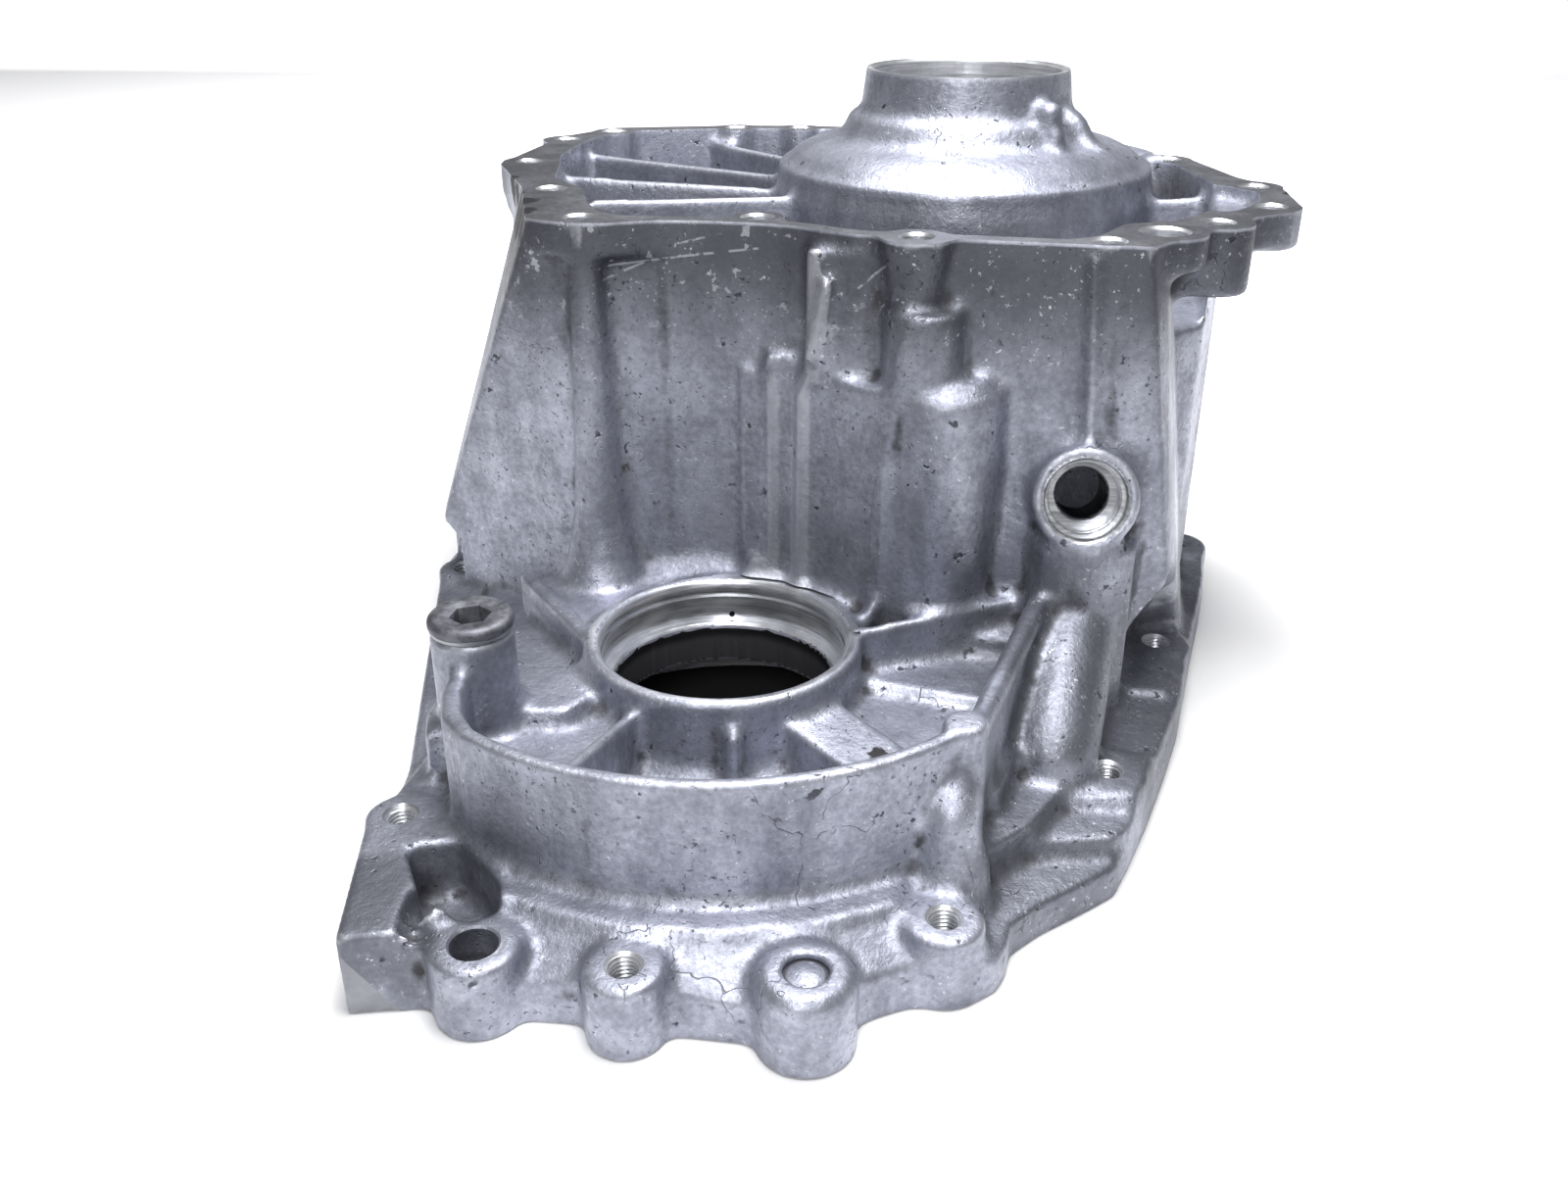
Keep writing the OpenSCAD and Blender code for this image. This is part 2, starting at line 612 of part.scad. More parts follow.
// Hollow of the tower, wider towards the joint face on the left
module tower_hollow() {
    prism([
        [-104, 84], [-64, 68], [-52, 64], [-30, 63.4], [14, 62.6], [36, 52.6],
        [120, 51.8], [132, 66], [139, 108], [156, 130], [162, 156], [160, 190],
        [148, 224], [122, 256], [98, 280], [40, 293], [-48, 287], [-100, 267],
        [-119, 234], [-118, 190], [-112, 130]], -past, recess_floor - wall);
    prism([[-138, 112], [-100, 84], [-90, 250], [-118, 262], [-130, 240], [-140, 190]],
        -past, foot_h + 22);
    prism([[-122, 112], [-98, 84], [-90, 250], [-112, 256], [-124, 236], [-128, 190]],
        -past, foot_h + 66);
}

// Recess in the upper flange round the dome, with round bosses at the bolts
module deck_recess() {
    difference() {
        translate([0, 0, recess_floor]) linear_extrude(deck_h) polygon(recess_outline);
        at([axis_dx, axis_dy], recess_floor - 50) cylinder(r = dome_r - 2, h = deck_h);
        for (b = deck_bolts) at(b, recess_floor - 5) cylinder(r = b[2] - 1.4, h = deck_h);
        recess_ribs();
    }
    // shallow ledge beside the right lugs
    prism([[163, 110], [172, 116], [182, 134], [183, 156], [172, 168], [164, 172]],
        deck_h - 6, deck_h + past);
}

// Stepped bore of the front bearing ring, with a groove for its snap ring
module front_bore() {
    bore_r = front_bore_d / 2;
    translate([0, 0, ring_h - seat_depth]) cylinder(r = bore_r, h = seat_depth + past);
    translate([0, 0, ring_h - 1.3]) cylinder(r1 = bore_r, r2 = bore_r + 1.5, h = 1.5);
    translate([0, 0, ring_h - 7]) cylinder(r = bore_r + 1.2, h = 2);
    translate([0, 0, -past]) cylinder(r = bore_r - seat_shoulder, h = ring_h - seat_depth + 2 * past);
}

// Seat of the rear bearing in the snout
module rear_bore() {
    bore_r = snout_bore_d / 2;
    at([axis_dx, axis_dy]) {
        translate([0, 0, snout_h - rear_seat_depth]) cylinder(r = bore_r, h = rear_seat_depth + past);
        translate([0, 0, snout_h - 1.2]) cylinder(r1 = bore_r, r2 = bore_r + 1.4, h = 1.4);
        translate([0, 0, deck_h + 5]) cylinder(r = bore_r - 3, h = snout_h - rear_seat_depth - deck_h - 4);
    }
}

// Threaded holes of the joint face and the two cored ones
module joint_holes() {
    for (b = joint_bolts) at(b) {
        translate([0, 0, -past]) cylinder(d = thread_core_d, h = b[3] + 20);
        translate([0, 0, b[3] - 0.9])
            cylinder(r1 = thread_core_d / 2, r2 = thread_d / 2 + 0.3, h = 1.1);
    }
    at(cored_lobe, boss_h - 11) {
        cylinder(r = 7.3, h = 40);
        sphere(r = 7.28);
    }
    at(tall_lobe, boss_h - 1) cylinder(r = 6.9, h = 20);
}

// Clearance holes and dowel hole of the upper flange
module deck_holes() {
    for (b = deck_bolts) at(b, deck_h - b[4]) cylinder(d = clear_d, h = b[4] + past);
    at(deck_dowel, deck_h - deck_dowel[4]) cylinder(d = dowel_d, h = deck_dowel[4] + past);
}

// Sleeve that carries the sensor bore inside the tower
module sensor_sleeve() {
    sensor_place() translate([0, 0, -46]) cylinder(r = sensor_bore_d / 2 + 4.8, h = 28);
}

// Stepped bore of the sensor boss
module sensor_bore() {
    sensor_place() {
        translate([0, 0, -60]) cylinder(d = sensor_bore_d, h = 60 + past);
        translate([0, 0, -counterbore_depth]) cylinder(d = sensor_step_d, h = counterbore_depth + past);
        translate([0, 0, -step_depth]) cylinder(d = sensor_counterbore_d, h = step_depth + past);
        translate([0, 0, -1.1])
            cylinder(d1 = sensor_counterbore_d, d2 = sensor_counterbore_d + 2.4, h = 1.2);
    }
}

// Tapped hole below the filler plug
module plug_hole() {
    at([plug_x, plug_y], plate_h + 1) cylinder(d = plug_thread_d - 1.6, h = plug_boss_h);
}

// Outside of the casting before the hollows are taken out
module outside() {
    joint_flange();
    corner_block();
    bowl();
    plug_boss();
    difference() {
        tower_body();
        bolt_scoops();
    }
    left_rib();
    wall_foot();
    wall_pads();
    bottle_boss();
    sensor_boss();
    deck();
}

module housing() {
    color([0.62, 0.63, 0.66]) translate(home) difference() {
        union() {
            difference() {
                outside();
                front_hollow();
                tower_hollow();
                deck_recess();
            }
            bearing_ring();
            sensor_sleeve();
            dome_outside();
        }
        dome_inside();
        corner_pocket();
        front_bore();
        rear_bore();
        joint_holes();
        deck_holes();
        sensor_bore();
        plug_hole();
    }
}

// Socket-head filler plug with a low round head and a threaded shank
module filler_plug() {
    edge = 0.8;
    color([0.36, 0.37, 0.39]) translate(home) at([plug_x, plug_y], plug_boss_h + washer_t)
        difference() {
            union() {
                rotate_extrude()
                    polygon([
                        [0, 0], [plug_head_d / 2 - edge, 0], [plug_head_d / 2, edge],
                        [plug_head_d / 2, plug_head_h - 1.4], [plug_head_d / 2 - 2 * edge, plug_head_h],
                        [0, plug_head_h]]);
                translate([0, 0, -4 * plug_head_h])
                    cylinder(d = plug_thread_d - 2.2, h = 4 * plug_head_h + 0.5);
            }
            translate([0, 0, -plug_head_h])
                cylinder(r = plug_key / 2 / cos(30), h = 2 * plug_head_h + past, $fn = 6);
        }
}

module plug_washer() {
    color([0.66, 0.66, 0.68]) translate(home) at([plug_x, plug_y], plug_boss_h)
        difference() {
            cylinder(d = plug_head_d - 1, h = washer_t);
            translate([0, 0, -past]) cylinder(d = plug_thread_d + 0.4, h = washer_t + 2 * past);
        }
}

housing();
filler_plug();
plug_washer();
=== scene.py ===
"""Looks of the transfer case housing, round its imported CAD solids.

The raw casting is the CAD solid with cast fillets: it is thickened on the faces that get machined,
its corners are filled and rounded, and then the flanges, bores and holes are cut again, as in a
machine shop. Lengths in the part's own drawing are millimetres from the front ring's axis; Blender
works in metres.
"""
import math

import bmesh
import bpy
import numpy as np
from mathutils import Matrix, Vector


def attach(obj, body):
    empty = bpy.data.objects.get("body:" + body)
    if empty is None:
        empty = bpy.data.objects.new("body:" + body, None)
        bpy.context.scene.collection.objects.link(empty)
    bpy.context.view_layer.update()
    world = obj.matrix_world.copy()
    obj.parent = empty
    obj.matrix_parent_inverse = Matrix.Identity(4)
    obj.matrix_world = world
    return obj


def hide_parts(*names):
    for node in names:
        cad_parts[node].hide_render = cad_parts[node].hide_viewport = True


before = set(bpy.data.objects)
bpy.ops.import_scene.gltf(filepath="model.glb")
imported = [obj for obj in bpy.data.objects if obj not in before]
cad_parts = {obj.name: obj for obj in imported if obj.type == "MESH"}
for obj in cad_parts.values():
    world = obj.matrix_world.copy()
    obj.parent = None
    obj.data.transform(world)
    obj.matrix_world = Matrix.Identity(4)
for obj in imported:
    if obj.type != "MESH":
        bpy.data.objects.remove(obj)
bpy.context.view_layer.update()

MM = 0.001

# Sizes in mm, as in the drawing
HOME = np.array([-13.9, -88.45, 0.0])      # front ring's axis to the row's origin
REAR_AXIS = (61.6, 197.0)
JOINT_Z, BOSS_Z, RING_Z, DECK_Z, SNOUT_Z = 0.0, 25.0, 57.0, 195.0, 235.5
FRONT_BORE_R, FRONT_THROAT_R, FRONT_ROOM_R, RING_R = 45.0, 41.0, 42.6, 51.3
FLANGE_INNER_R = 90.0                      # the upper flange's face lies outside this, round REAR_AXIS
SEAT_Z, ROOM_Z, GROOVE_Z, GROOVE_T, GROOVE_DEPTH = 40.0, 22.0, 50.0, 2.0, 1.2
SNOUT_BORE_R, SNOUT_THROAT_R, SNOUT_R, SNOUT_SEAT_Z = 40.0, 37.0, 43.6, 216.0
THREAD_R, THREAD_CORE_R, THREAD_PITCH = 5.0, 4.19, 1.5
DECK_HOLE_R, DOWEL_R = 5.5, 8.3
SENSOR_FACE, SENSOR_TILT, SENSOR_TURN = (126.2, 32.0, 107.7), 14.0, 6.0
SENSOR_BORE_R, SENSOR_STEP_R, SENSOR_COUNTERBORE_R = 9.25, 12.8, 14.5
SENSOR_BORE_Z, SENSOR_STEP_Z, SENSOR_COUNTERBORE_Z = -52.0, -18.0, -8.0
PLUG_AXIS, PLUG_SEAT_Z, WASHER_T = (-72.9, -54.4), 79.5, 1.6
PLUG_HEAD_R, PLUG_HEAD_H, PLUG_KEY, PLUG_SHANK_R = 14.5, 4.0, 12.0, 10.9

# Joint bolts: x, y, top of the boss
JOINT_BOLTS = [
    (-86.2, -93.6, 29), (6.5, -144, 25), (94.3, -104, 25), (142, -12, 25), (161, 89.5, 25),
    (173.5, 194, 25), (-148, 98, 25), (-156, 190, 25), (-133, 272, 25), (-52, 315, 25),
    (44, 322, 25), (132, 284, 25)]
# Deck bolts: x, y, depth of the hole
DECK_BOLTS = [
    (-65, 54.2, 24), (-95.5, 106.2, 24), (-128.8, 167.8, 21), (-134.4, 232, 23), (-120.5, 262.5, 23),
    (-63, 288, 23), (-31, 294, 23), (-1.3, 67.7, 24), (60.2, 46.3, 24), (125.2, 52.9, 24),
    (163.6, 93.2, 26), (185, 127.6, 16), (182, 169.8, 16), (150, 232, 21), (111, 279, 21),
    (38, 297, 23)]
DECK_DOWEL = (144.3, 72.4, 14)
BLIND_HOLE, BLIND_HOLE_R, BLIND_HOLE_BALL_Z = (-39.3, -144.2), 7.3, 14.0
LOBE_RECESS, LOBE_RECESS_R, LOBE_RECESS_Z = (58.5, -137), 6.9, 24.3
# The corner block's front face runs between these two points. A triangle at its lower left corner is
# milled off to this depth.
BLOCK_LEFT, BLOCK_RIGHT, BLOCK_MILLED = (-77.6, -155.4), (-57.6, -148.4), 0.6

# Round-headed column at the bowl's right end, as radius and z
COLUMN_AXIS = (93, -79)
COLUMN_PROFILE = [
    (0, 14), (14, 14), (13, 26), (10.5, 34), (9.2, 41), (8.6, 46), (6.6, 50), (3.6, 51.8), (0, 52.2)]

# Camera, fitted to the photograph
CAMERA_AT = np.array([116.6, -440.4, 298.0])
CAMERA_FORWARD = Vector((-0.1866, 0.8781, -0.4406))
CAMERA_RIGHT = Vector((0.9781, 0.2079, 0.0))
LENS, SENSOR = 32.11, 36.0


# Mesh helpers
def in_row(points):
    """Drawing millimetres to row metres: add HOME, then times 0.001."""
    return (np.asarray(points, float) + HOME) * MM


def mesh_object(name, verts, faces, smooth_angle):
    """A mesh object from row metres, its edges sharp where faces meet at more than smooth_angle."""
    mesh = bpy.data.meshes.new(name)
    mesh.from_pydata(np.asarray(verts).tolist(), [], [list(map(int, f)) for f in faces])
    mesh.validate()
    mesh.shade_smooth()
    mesh.set_sharp_from_angle(angle=math.radians(smooth_angle))
    obj = bpy.data.objects.new(name, mesh)
    bpy.context.scene.collection.objects.link(obj)
    return obj


def grid_faces(rows, cols, close_rows=False):
    """Quads of a grid whose point (i, j) has index i * cols + j. The last column joins the first one,
    and so do the rows if they are closed."""
    i, j = np.meshgrid(np.arange(rows - (not close_rows)), np.arange(cols), indexing="ij")
    i, j = i.ravel(), j.ravel()
    k, m = (i + 1) % rows, (j + 1) % cols
    return np.stack([i * cols + j, i * cols + m, k * cols + m, k * cols + j], 1)


def revolved(profile, steps):
    """Rings of points round z: point (r, z) of the profile at angle t goes to (r cos t, r sin t, z)."""
    prof = np.asarray(profile, float)
    t = np.linspace(0, 2 * np.pi, steps, endpoint=False)
    x = prof[:, 0, None] * np.cos(t)
    y = prof[:, 0, None] * np.sin(t)
    z = np.repeat(prof[:, 1, None], steps, 1)
    return np.stack([x, y, z], 2)


def capped(rings, bottom, top):
    """A tube of rings, closed by a fan of triangles to a point of the axis at each end."""
    n, steps = rings.shape[:2]
    j = np.arange(steps)
    after = (j + 1) % steps
    last = (n - 1) * steps
    verts = np.vstack([rings.reshape(-1, 3), [[0, 0, bottom], [0, 0, top]]])
    low = np.stack([np.full(steps, n * steps), after, j], 1)
    high = np.stack([np.full(steps, n * steps + 1), last + j, last + after], 1)
    return verts, [*grid_faces(n, steps), *low, *high]


def turned(profile, steps):
    """A solid of revolution about z. Its profile starts and ends on the axis."""
    return capped(revolved(profile[1:-1], steps), profile[0][1], profile[-1][1])


def ring_solid(profile, steps):
    """A closed profile that doesn't touch the axis, carried once round z."""
    return revolved(profile, steps).reshape(-1, 3), grid_faces(len(profile), steps, close_rows=True)


def joined(parts):
    """Several (verts, faces) as one, each part's indices moved up by the points before it."""
    verts, faces, base = [], [], 0
    for v, f in parts:
        verts.append(v)
        faces += [[int(i) + base for i in face] for face in f]
        base += len(v)
    return np.vstack(verts), faces


def shifted(part, at):
    """A (verts, faces) part moved by at."""
    return part[0] + np.asarray(at, float), part[1]


def solid(name, part, smooth_angle=35.0):
    """A mesh object from a (verts, faces) part in drawing millimetres, its faces pointing out of it."""
    obj = mesh_object(name, in_row(part[0]), part[1], smooth_angle)
    bm = bmesh.new()
    bm.from_mesh(obj.data)
    bmesh.ops.recalc_face_normals(bm, faces=bm.faces)
    bm.to_mesh(obj.data)
    bm.free()
    return obj


def applied(obj, kind, **settings):
    """Adds a modifier of that kind and applies it."""
    mod = obj.modifiers.new(kind, kind)
    for key, value in settings.items():
        setattr(mod, key, value)
    graph = bpy.context.evaluated_depsgraph_get()
    mesh = bpy.data.meshes.new_from_object(obj.evaluated_get(graph))
    obj.modifiers.clear()
    old, obj.data = obj.data, mesh
    bpy.data.meshes.remove(old)


def read_rows(items, name, width, kind=np.int32):
    """A property of a mesh's vertices, edges, corners or faces, as an array with a row for each."""
    values = np.empty(len(items) * width, kind)
    items.foreach_get(name, values)
    return values.reshape(-1, width)


def read_triples(items, name):
    return read_rows(items, name, 3, np.float32).astype(float)


def coords(mesh):
    return read_triples(mesh.vertices, "co")


def set_coords(mesh, co):
    mesh.vertices.foreach_set("co", np.asarray(co, np.float32).ravel())
    mesh.update()


def vertex_normals(mesh):
    return read_triples(mesh.vertices, "normal")


# The raw casting
VOXEL = 1.2          # mm, size of the remesh
STOCK = 2.5                                 # mm, metal left on each face that is machined
RING_STOCK = 0.4                            # mm, the same on the front ring's rim
FILLET = 2.4                                # mm, radius of the inner corners
ROUNDS = 4                                  # passes of smoothing, which round the outer edges
OUTSIDE_TRIANGLES, INSIDE_TRIANGLES = 155000, 24000
JOINT_FILL_R, DECK_FILL_R, DOWEL_FILL_R = 6.2, 7, 10        # mm, plugs in the holes of the solid


def raw_solid():
    """A copy of the CAD casting with machining stock: its flange faces, ring rim and snout end move
    outwards along z by STOCK, and plugs fill each hole that is drilled later."""
    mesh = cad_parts["housing"].data.copy()
    obj = bpy.data.objects.new("raw_casting", mesh)
    bpy.context.scene.collection.objects.link(obj)
    bm = bmesh.new()
    bm.from_mesh(mesh)
    bmesh.ops.remove_doubles(bm, verts=bm.verts, dist=1e-6)
    bm.to_mesh(mesh)
    bm.free()
    co = coords(mesh) / MM - HOME
    z = co[:, 2]
    near = np.hypot(co[:, 0], co[:, 1]) < RING_R + 1
    snout = np.hypot(co[:, 0] - REAR_AXIS[0], co[:, 1] - REAR_AXIS[1]) < SNOUT_R + 1
    lift = np.where(np.abs(z - DECK_Z) < 0.02, STOCK, 0)
    lift = np.where(np.abs(z - JOINT_Z) < 0.02, -STOCK, lift)
    lift = np.where(near & (np.abs(z - RING_Z) < 0.02), RING_STOCK, lift)
    lift = np.where(snout & (z > SNOUT_Z - 1), STOCK, lift)
    co[:, 2] += lift
    set_coords(mesh, in_row(co))
    fills = []
    for x, y, top in JOINT_BOLTS:
        r = JOINT_FILL_R
        rod = turned([(0, -STOCK), (r, -STOCK), (r, top - 0.1), (0, top - 0.1)], 24)
        fills.append(shifted(rod, (x, y, 0)))
    for x, y, depth in [*DECK_BOLTS, DECK_DOWEL]:
        r = DOWEL_FILL_R if depth == DECK_DOWEL[2] else DECK_FILL_R
        rod = turned([(0, -depth), (r, -depth), (r, STOCK), (0, STOCK)], 24)
        fills.append(shifted(rod, (x, y, DECK_Z)))
    rod = turned([(0, 8), (8.5, 8), (8.5, BOSS_Z - 0.1), (0, BOSS_Z - 0.1)], 24)
    fills.append(shifted(rod, (*BLIND_HOLE, 0)))
    rod = turned([(0, 16), (8, 16), (8, 26.3), (0, 26.3)], 24)
    fills.append(shifted(rod, (*LOBE_RECESS, 0)))
    fills.append(shifted(turned(COLUMN_PROFILE, 32), (*COLUMN_AXIS, 0)))
    join_into(obj, solid("plugs", joined(fills)))
    return obj


def join_into(obj, other):
    """Joins other's mesh into obj's."""
    with bpy.context.temp_override(active_object=obj, selected_editable_objects=[obj, other]):
        bpy.ops.object.join()


def moved_out(obj, distance):
    """Moves each vertex along its normal by distance, in mm."""
    mesh = obj.data
    set_coords(mesh, coords(mesh) + vertex_normals(mesh) * distance * MM)


def relaxed(obj, passes, share=0.5):
    """Laplace smoothing: each pass moves a vertex by share of the way to the mean of its neighbours."""
    mesh = obj.data
    a, b = read_rows(mesh.edges, "vertices", 2).T
    both, other = np.concatenate([a, b]), np.concatenate([b, a])
    count = np.bincount(both, minlength=len(mesh.vertices)).astype(float)
    co = coords(mesh)
    for _ in range(passes):
        mean = np.stack([np.bincount(both, co[other, k], len(co)) for k in range(3)], 1) / count[:, None]
        co += share * (mean - co)
    set_coords(mesh, co)


def cast_skin(obj):
    """Closes the corners and rounds the edges: the solid is remeshed, grows by FILLET and shrinks by the
    same, with a remesh each time, which fills inner corners to that radius, and then it is smoothed."""
    for distance in (0, FILLET, -FILLET):
        moved_out(obj, distance)
        applied(obj, "REMESH", mode="VOXEL", voxel_size=VOXEL * MM, adaptivity=0)
    relaxed(obj, ROUNDS)
    return obj


def triangle_counts(mesh, marked):
    """Triangles of a mesh, and those of the faces whose vertices are all marked."""
    triangles = read_rows(mesh.polygons, "loop_total", 1)[:, 0] - 2
    start = read_rows(mesh.polygons, "loop_start", 1)[:, 0]
    corner = read_rows(mesh.loops, "vertex_index", 1)[:, 0]
    inside = np.minimum.reduceat(marked[corner].astype(np.int8), start) > 0
    return int(triangles.sum()), int(triangles[inside].sum())


def thinned(obj, share, target, length_weight):
    """Joins the shortest and flattest edges until the faces whose vertices carry a share above 0 are
    about target triangles. An edge costs its length times length_weight times 2 less its ends' shares
    more, so a high weight spares the edges with a share below 1, and a low one keeps triangles even."""
    obj.vertex_groups.clear()
    group = obj.vertex_groups.new(name="thinned")
    for value in np.unique(share[share > 0]):
        group.add(np.flatnonzero(share == value).tolist(), float(value), "REPLACE")
    total, now = triangle_counts(obj.data, share > 0)
    if now > target:
        ratio = (total - now + target) / total
        applied(obj, "DECIMATE", ratio=ratio, vertex_group="thinned", vertex_group_factor=length_weight)
    obj.vertex_groups.clear()


def lightened(obj, metal):
    """The hollow, which is hardly seen, gets few triangles and the outside gets most of them."""
    seen = metal.open_to_outside(coords(obj.data), vertex_normals(obj.data))
    thinned(obj, np.where(seen, 0.0, 1.0), INSIDE_TRIANGLES, 1.0)
    seen = metal.open_to_outside(coords(obj.data), vertex_normals(obj.data))
    thinned(obj, np.where(seen, 0.5, 0.0), OUTSIDE_TRIANGLES, 2e-6)
    return obj


# Machining
def sensor_matrix():
    """The sensor bore's own frame, z out of its face: turned about z after it is tilted back from -y."""
    turn = Matrix.Rotation(math.radians(SENSOR_TURN), 4, "Z")
    tilt = Matrix.Rotation(math.radians(90 - SENSOR_TILT), 4, "X")
    return Matrix.Translation(Vector(SENSOR_FACE)) @ turn @ tilt


def block_matrix():
    """The corner block's front face: x along it, y up, z out of it."""
    along = Vector((BLOCK_RIGHT[0] - BLOCK_LEFT[0], BLOCK_RIGHT[1] - BLOCK_LEFT[1], 0)).normalized()
    up = Vector((0, 0, 1))
    turn = Matrix((along, up, along.cross(up))).transposed()
    return Matrix.Translation(Vector((*BLOCK_LEFT, 0))) @ turn.to_4x4()


def placed(points, matrix):
    """Points carried by a 4 x 4 matrix."""
    m = np.array(matrix)
    return points @ m[:3, :3].T + m[:3, 3]


def wedge(corners, low, high):
    """A prism on a polygon of (x, y) corners, from z low to z high."""
    n = len(corners)
    ring = np.array([(x, y, z) for z in (low, high) for x, y in corners], float)
    sides = grid_faces(2, n)
    return ring, [*sides, list(range(n))[::-1], list(range(n, 2 * n))]


def hole_cutters():
    """Drills and countersinks of all small holes."""
    holes = []
    for x, y, top in JOINT_BOLTS:
        drill = [(0, -6), (6, -6), (6, 0), (THREAD_R + 0.05, 1), (THREAD_R + 0.05, top - 1),
                 (6.1, top + 0.1), (6.1, top + 4), (0, top + 4)]
        holes.append(shifted(turned(drill, 40), (x, y, 0)))
    for x, y, depth in [*DECK_BOLTS, DECK_DOWEL]:
        r, sides = (DOWEL_R, 56) if depth == DECK_DOWEL[2] else (DECK_HOLE_R, 40)
        drill = [(0, -depth), (r, -depth), (r, -1), (r + 1, 0), (r + 1, 5), (0, 5)]
        holes.append(shifted(turned(drill, sides), (x, y, DECK_Z)))
    arc = np.radians(np.linspace(-90, 0, 9))[1:]
    r, middle = BLIND_HOLE_R, BLIND_HOLE_BALL_Z
    ball = [(r * math.cos(t), middle + r * math.sin(t)) for t in arc]
    drill = [(0, middle - r), *ball, (r, 24.2), (8.2, 25.2), (8.2, 30), (0, 30)]
    holes.append(shifted(turned(drill, 48), (*BLIND_HOLE, 0)))
    r, z = LOBE_RECESS_R, LOBE_RECESS_Z
    dimple = [(0, 25.3), (5.2, 25.1), (6.2, z), (r, z), (r, 26.2), (7.8, 27), (7.8, 32), (0, 32)]
    holes.append(shifted(turned(dimple, 48), (*LOBE_RECESS, 0)))
    return joined(holes)


def cutters():
    """The tools of the machine shop: what they overlap is taken from the casting."""
    wide, high, r = 400, 9, FLANGE_INNER_R
    plane = turned([(0, -high), (wide, -high), (wide, JOINT_Z), (0, JOINT_Z)], 64)
    deck = ring_solid([(r, DECK_Z), (wide, DECK_Z), (wide, DECK_Z + high), (r, DECK_Z + high)], 128)
    r = FRONT_BORE_R
    front = turned([
        (0, -6), (FRONT_ROOM_R, -6), (FRONT_ROOM_R, ROOM_Z), (FRONT_THROAT_R, ROOM_Z + 1.6),
        (FRONT_THROAT_R, SEAT_Z - 0.8), (FRONT_THROAT_R + 0.8, SEAT_Z), (r, SEAT_Z), (r, GROOVE_Z),
        (r + GROOVE_DEPTH, GROOVE_Z), (r + GROOVE_DEPTH, GROOVE_Z + GROOVE_T), (r, GROOVE_Z + GROOVE_T),
        (r, RING_Z - 1.3), (r + 1.4, RING_Z), (RING_R - 0.7, RING_Z), (RING_R - 0.7, RING_Z + 0.8),
        (0, RING_Z + 0.8)], 192)
    r = SNOUT_BORE_R
    rear = turned([
        (0, 190), (SNOUT_THROAT_R, 190), (SNOUT_THROAT_R, SNOUT_SEAT_Z), (r, SNOUT_SEAT_Z),
        (r, SNOUT_Z - 1.2), (r + 1.4, SNOUT_Z), (50, SNOUT_Z), (50, SNOUT_Z + 6), (0, SNOUT_Z + 6)], 192)
    low, step, top = SENSOR_BORE_Z, SENSOR_STEP_Z, SENSOR_COUNTERBORE_Z
    bore, mid, r = SENSOR_BORE_R, SENSOR_STEP_R, SENSOR_COUNTERBORE_R
    sensor = turned([
        (0, low), (bore, low), (bore, step - 0.6), (bore + 0.6, step), (mid, step), (mid, top - 1.6),
        (mid + 0.5, top - 1.4), (mid + 0.5, top - 0.6), (mid, top - 0.4), (mid, top), (r, top), (r, -1.2),
        (r + 1.2, 0), (r + 1.2, 5), (0, 5)], 96)
    milled = wedge([(-2, -2), (17, -2), (-2, 26.5)], -BLOCK_MILLED, 6)
    filler = turned([
        (0, 14), (11.2, 14), (11.2, PLUG_SEAT_Z), (16, PLUG_SEAT_Z), (16, 86), (0, 86)], 56)
    return {
        "joint_plane": plane, "deck_plane": shifted(deck, (*REAR_AXIS, 0)), "front_bore": front,
        "rear_bore": shifted(rear, (*REAR_AXIS, 0)),
        "sensor_bore": (placed(sensor[0], sensor_matrix()), sensor[1]),
        "block_corner": (placed(milled[0], block_matrix()), milled[1]),
        "holes": hole_cutters(), "filler_hole": shifted(filler, (*PLUG_AXIS, 0))}


def machine(obj):
    """Takes each cutter from the casting."""
    for name, part in cutters().items():
        tool = solid("tool_" + name, part)
        applied(obj, "BOOLEAN", operation="DIFFERENCE", object=tool, solver="MANIFOLD")
        bpy.data.objects.remove(tool)


# How much metal lies round a point
GRID_PITCH = 1.6     # mm
MARGIN = 14.0                               # mm of air round the part
LINE_SHIFT = 0.137                          # mm, keeps the grid's lines off the mesh's vertices


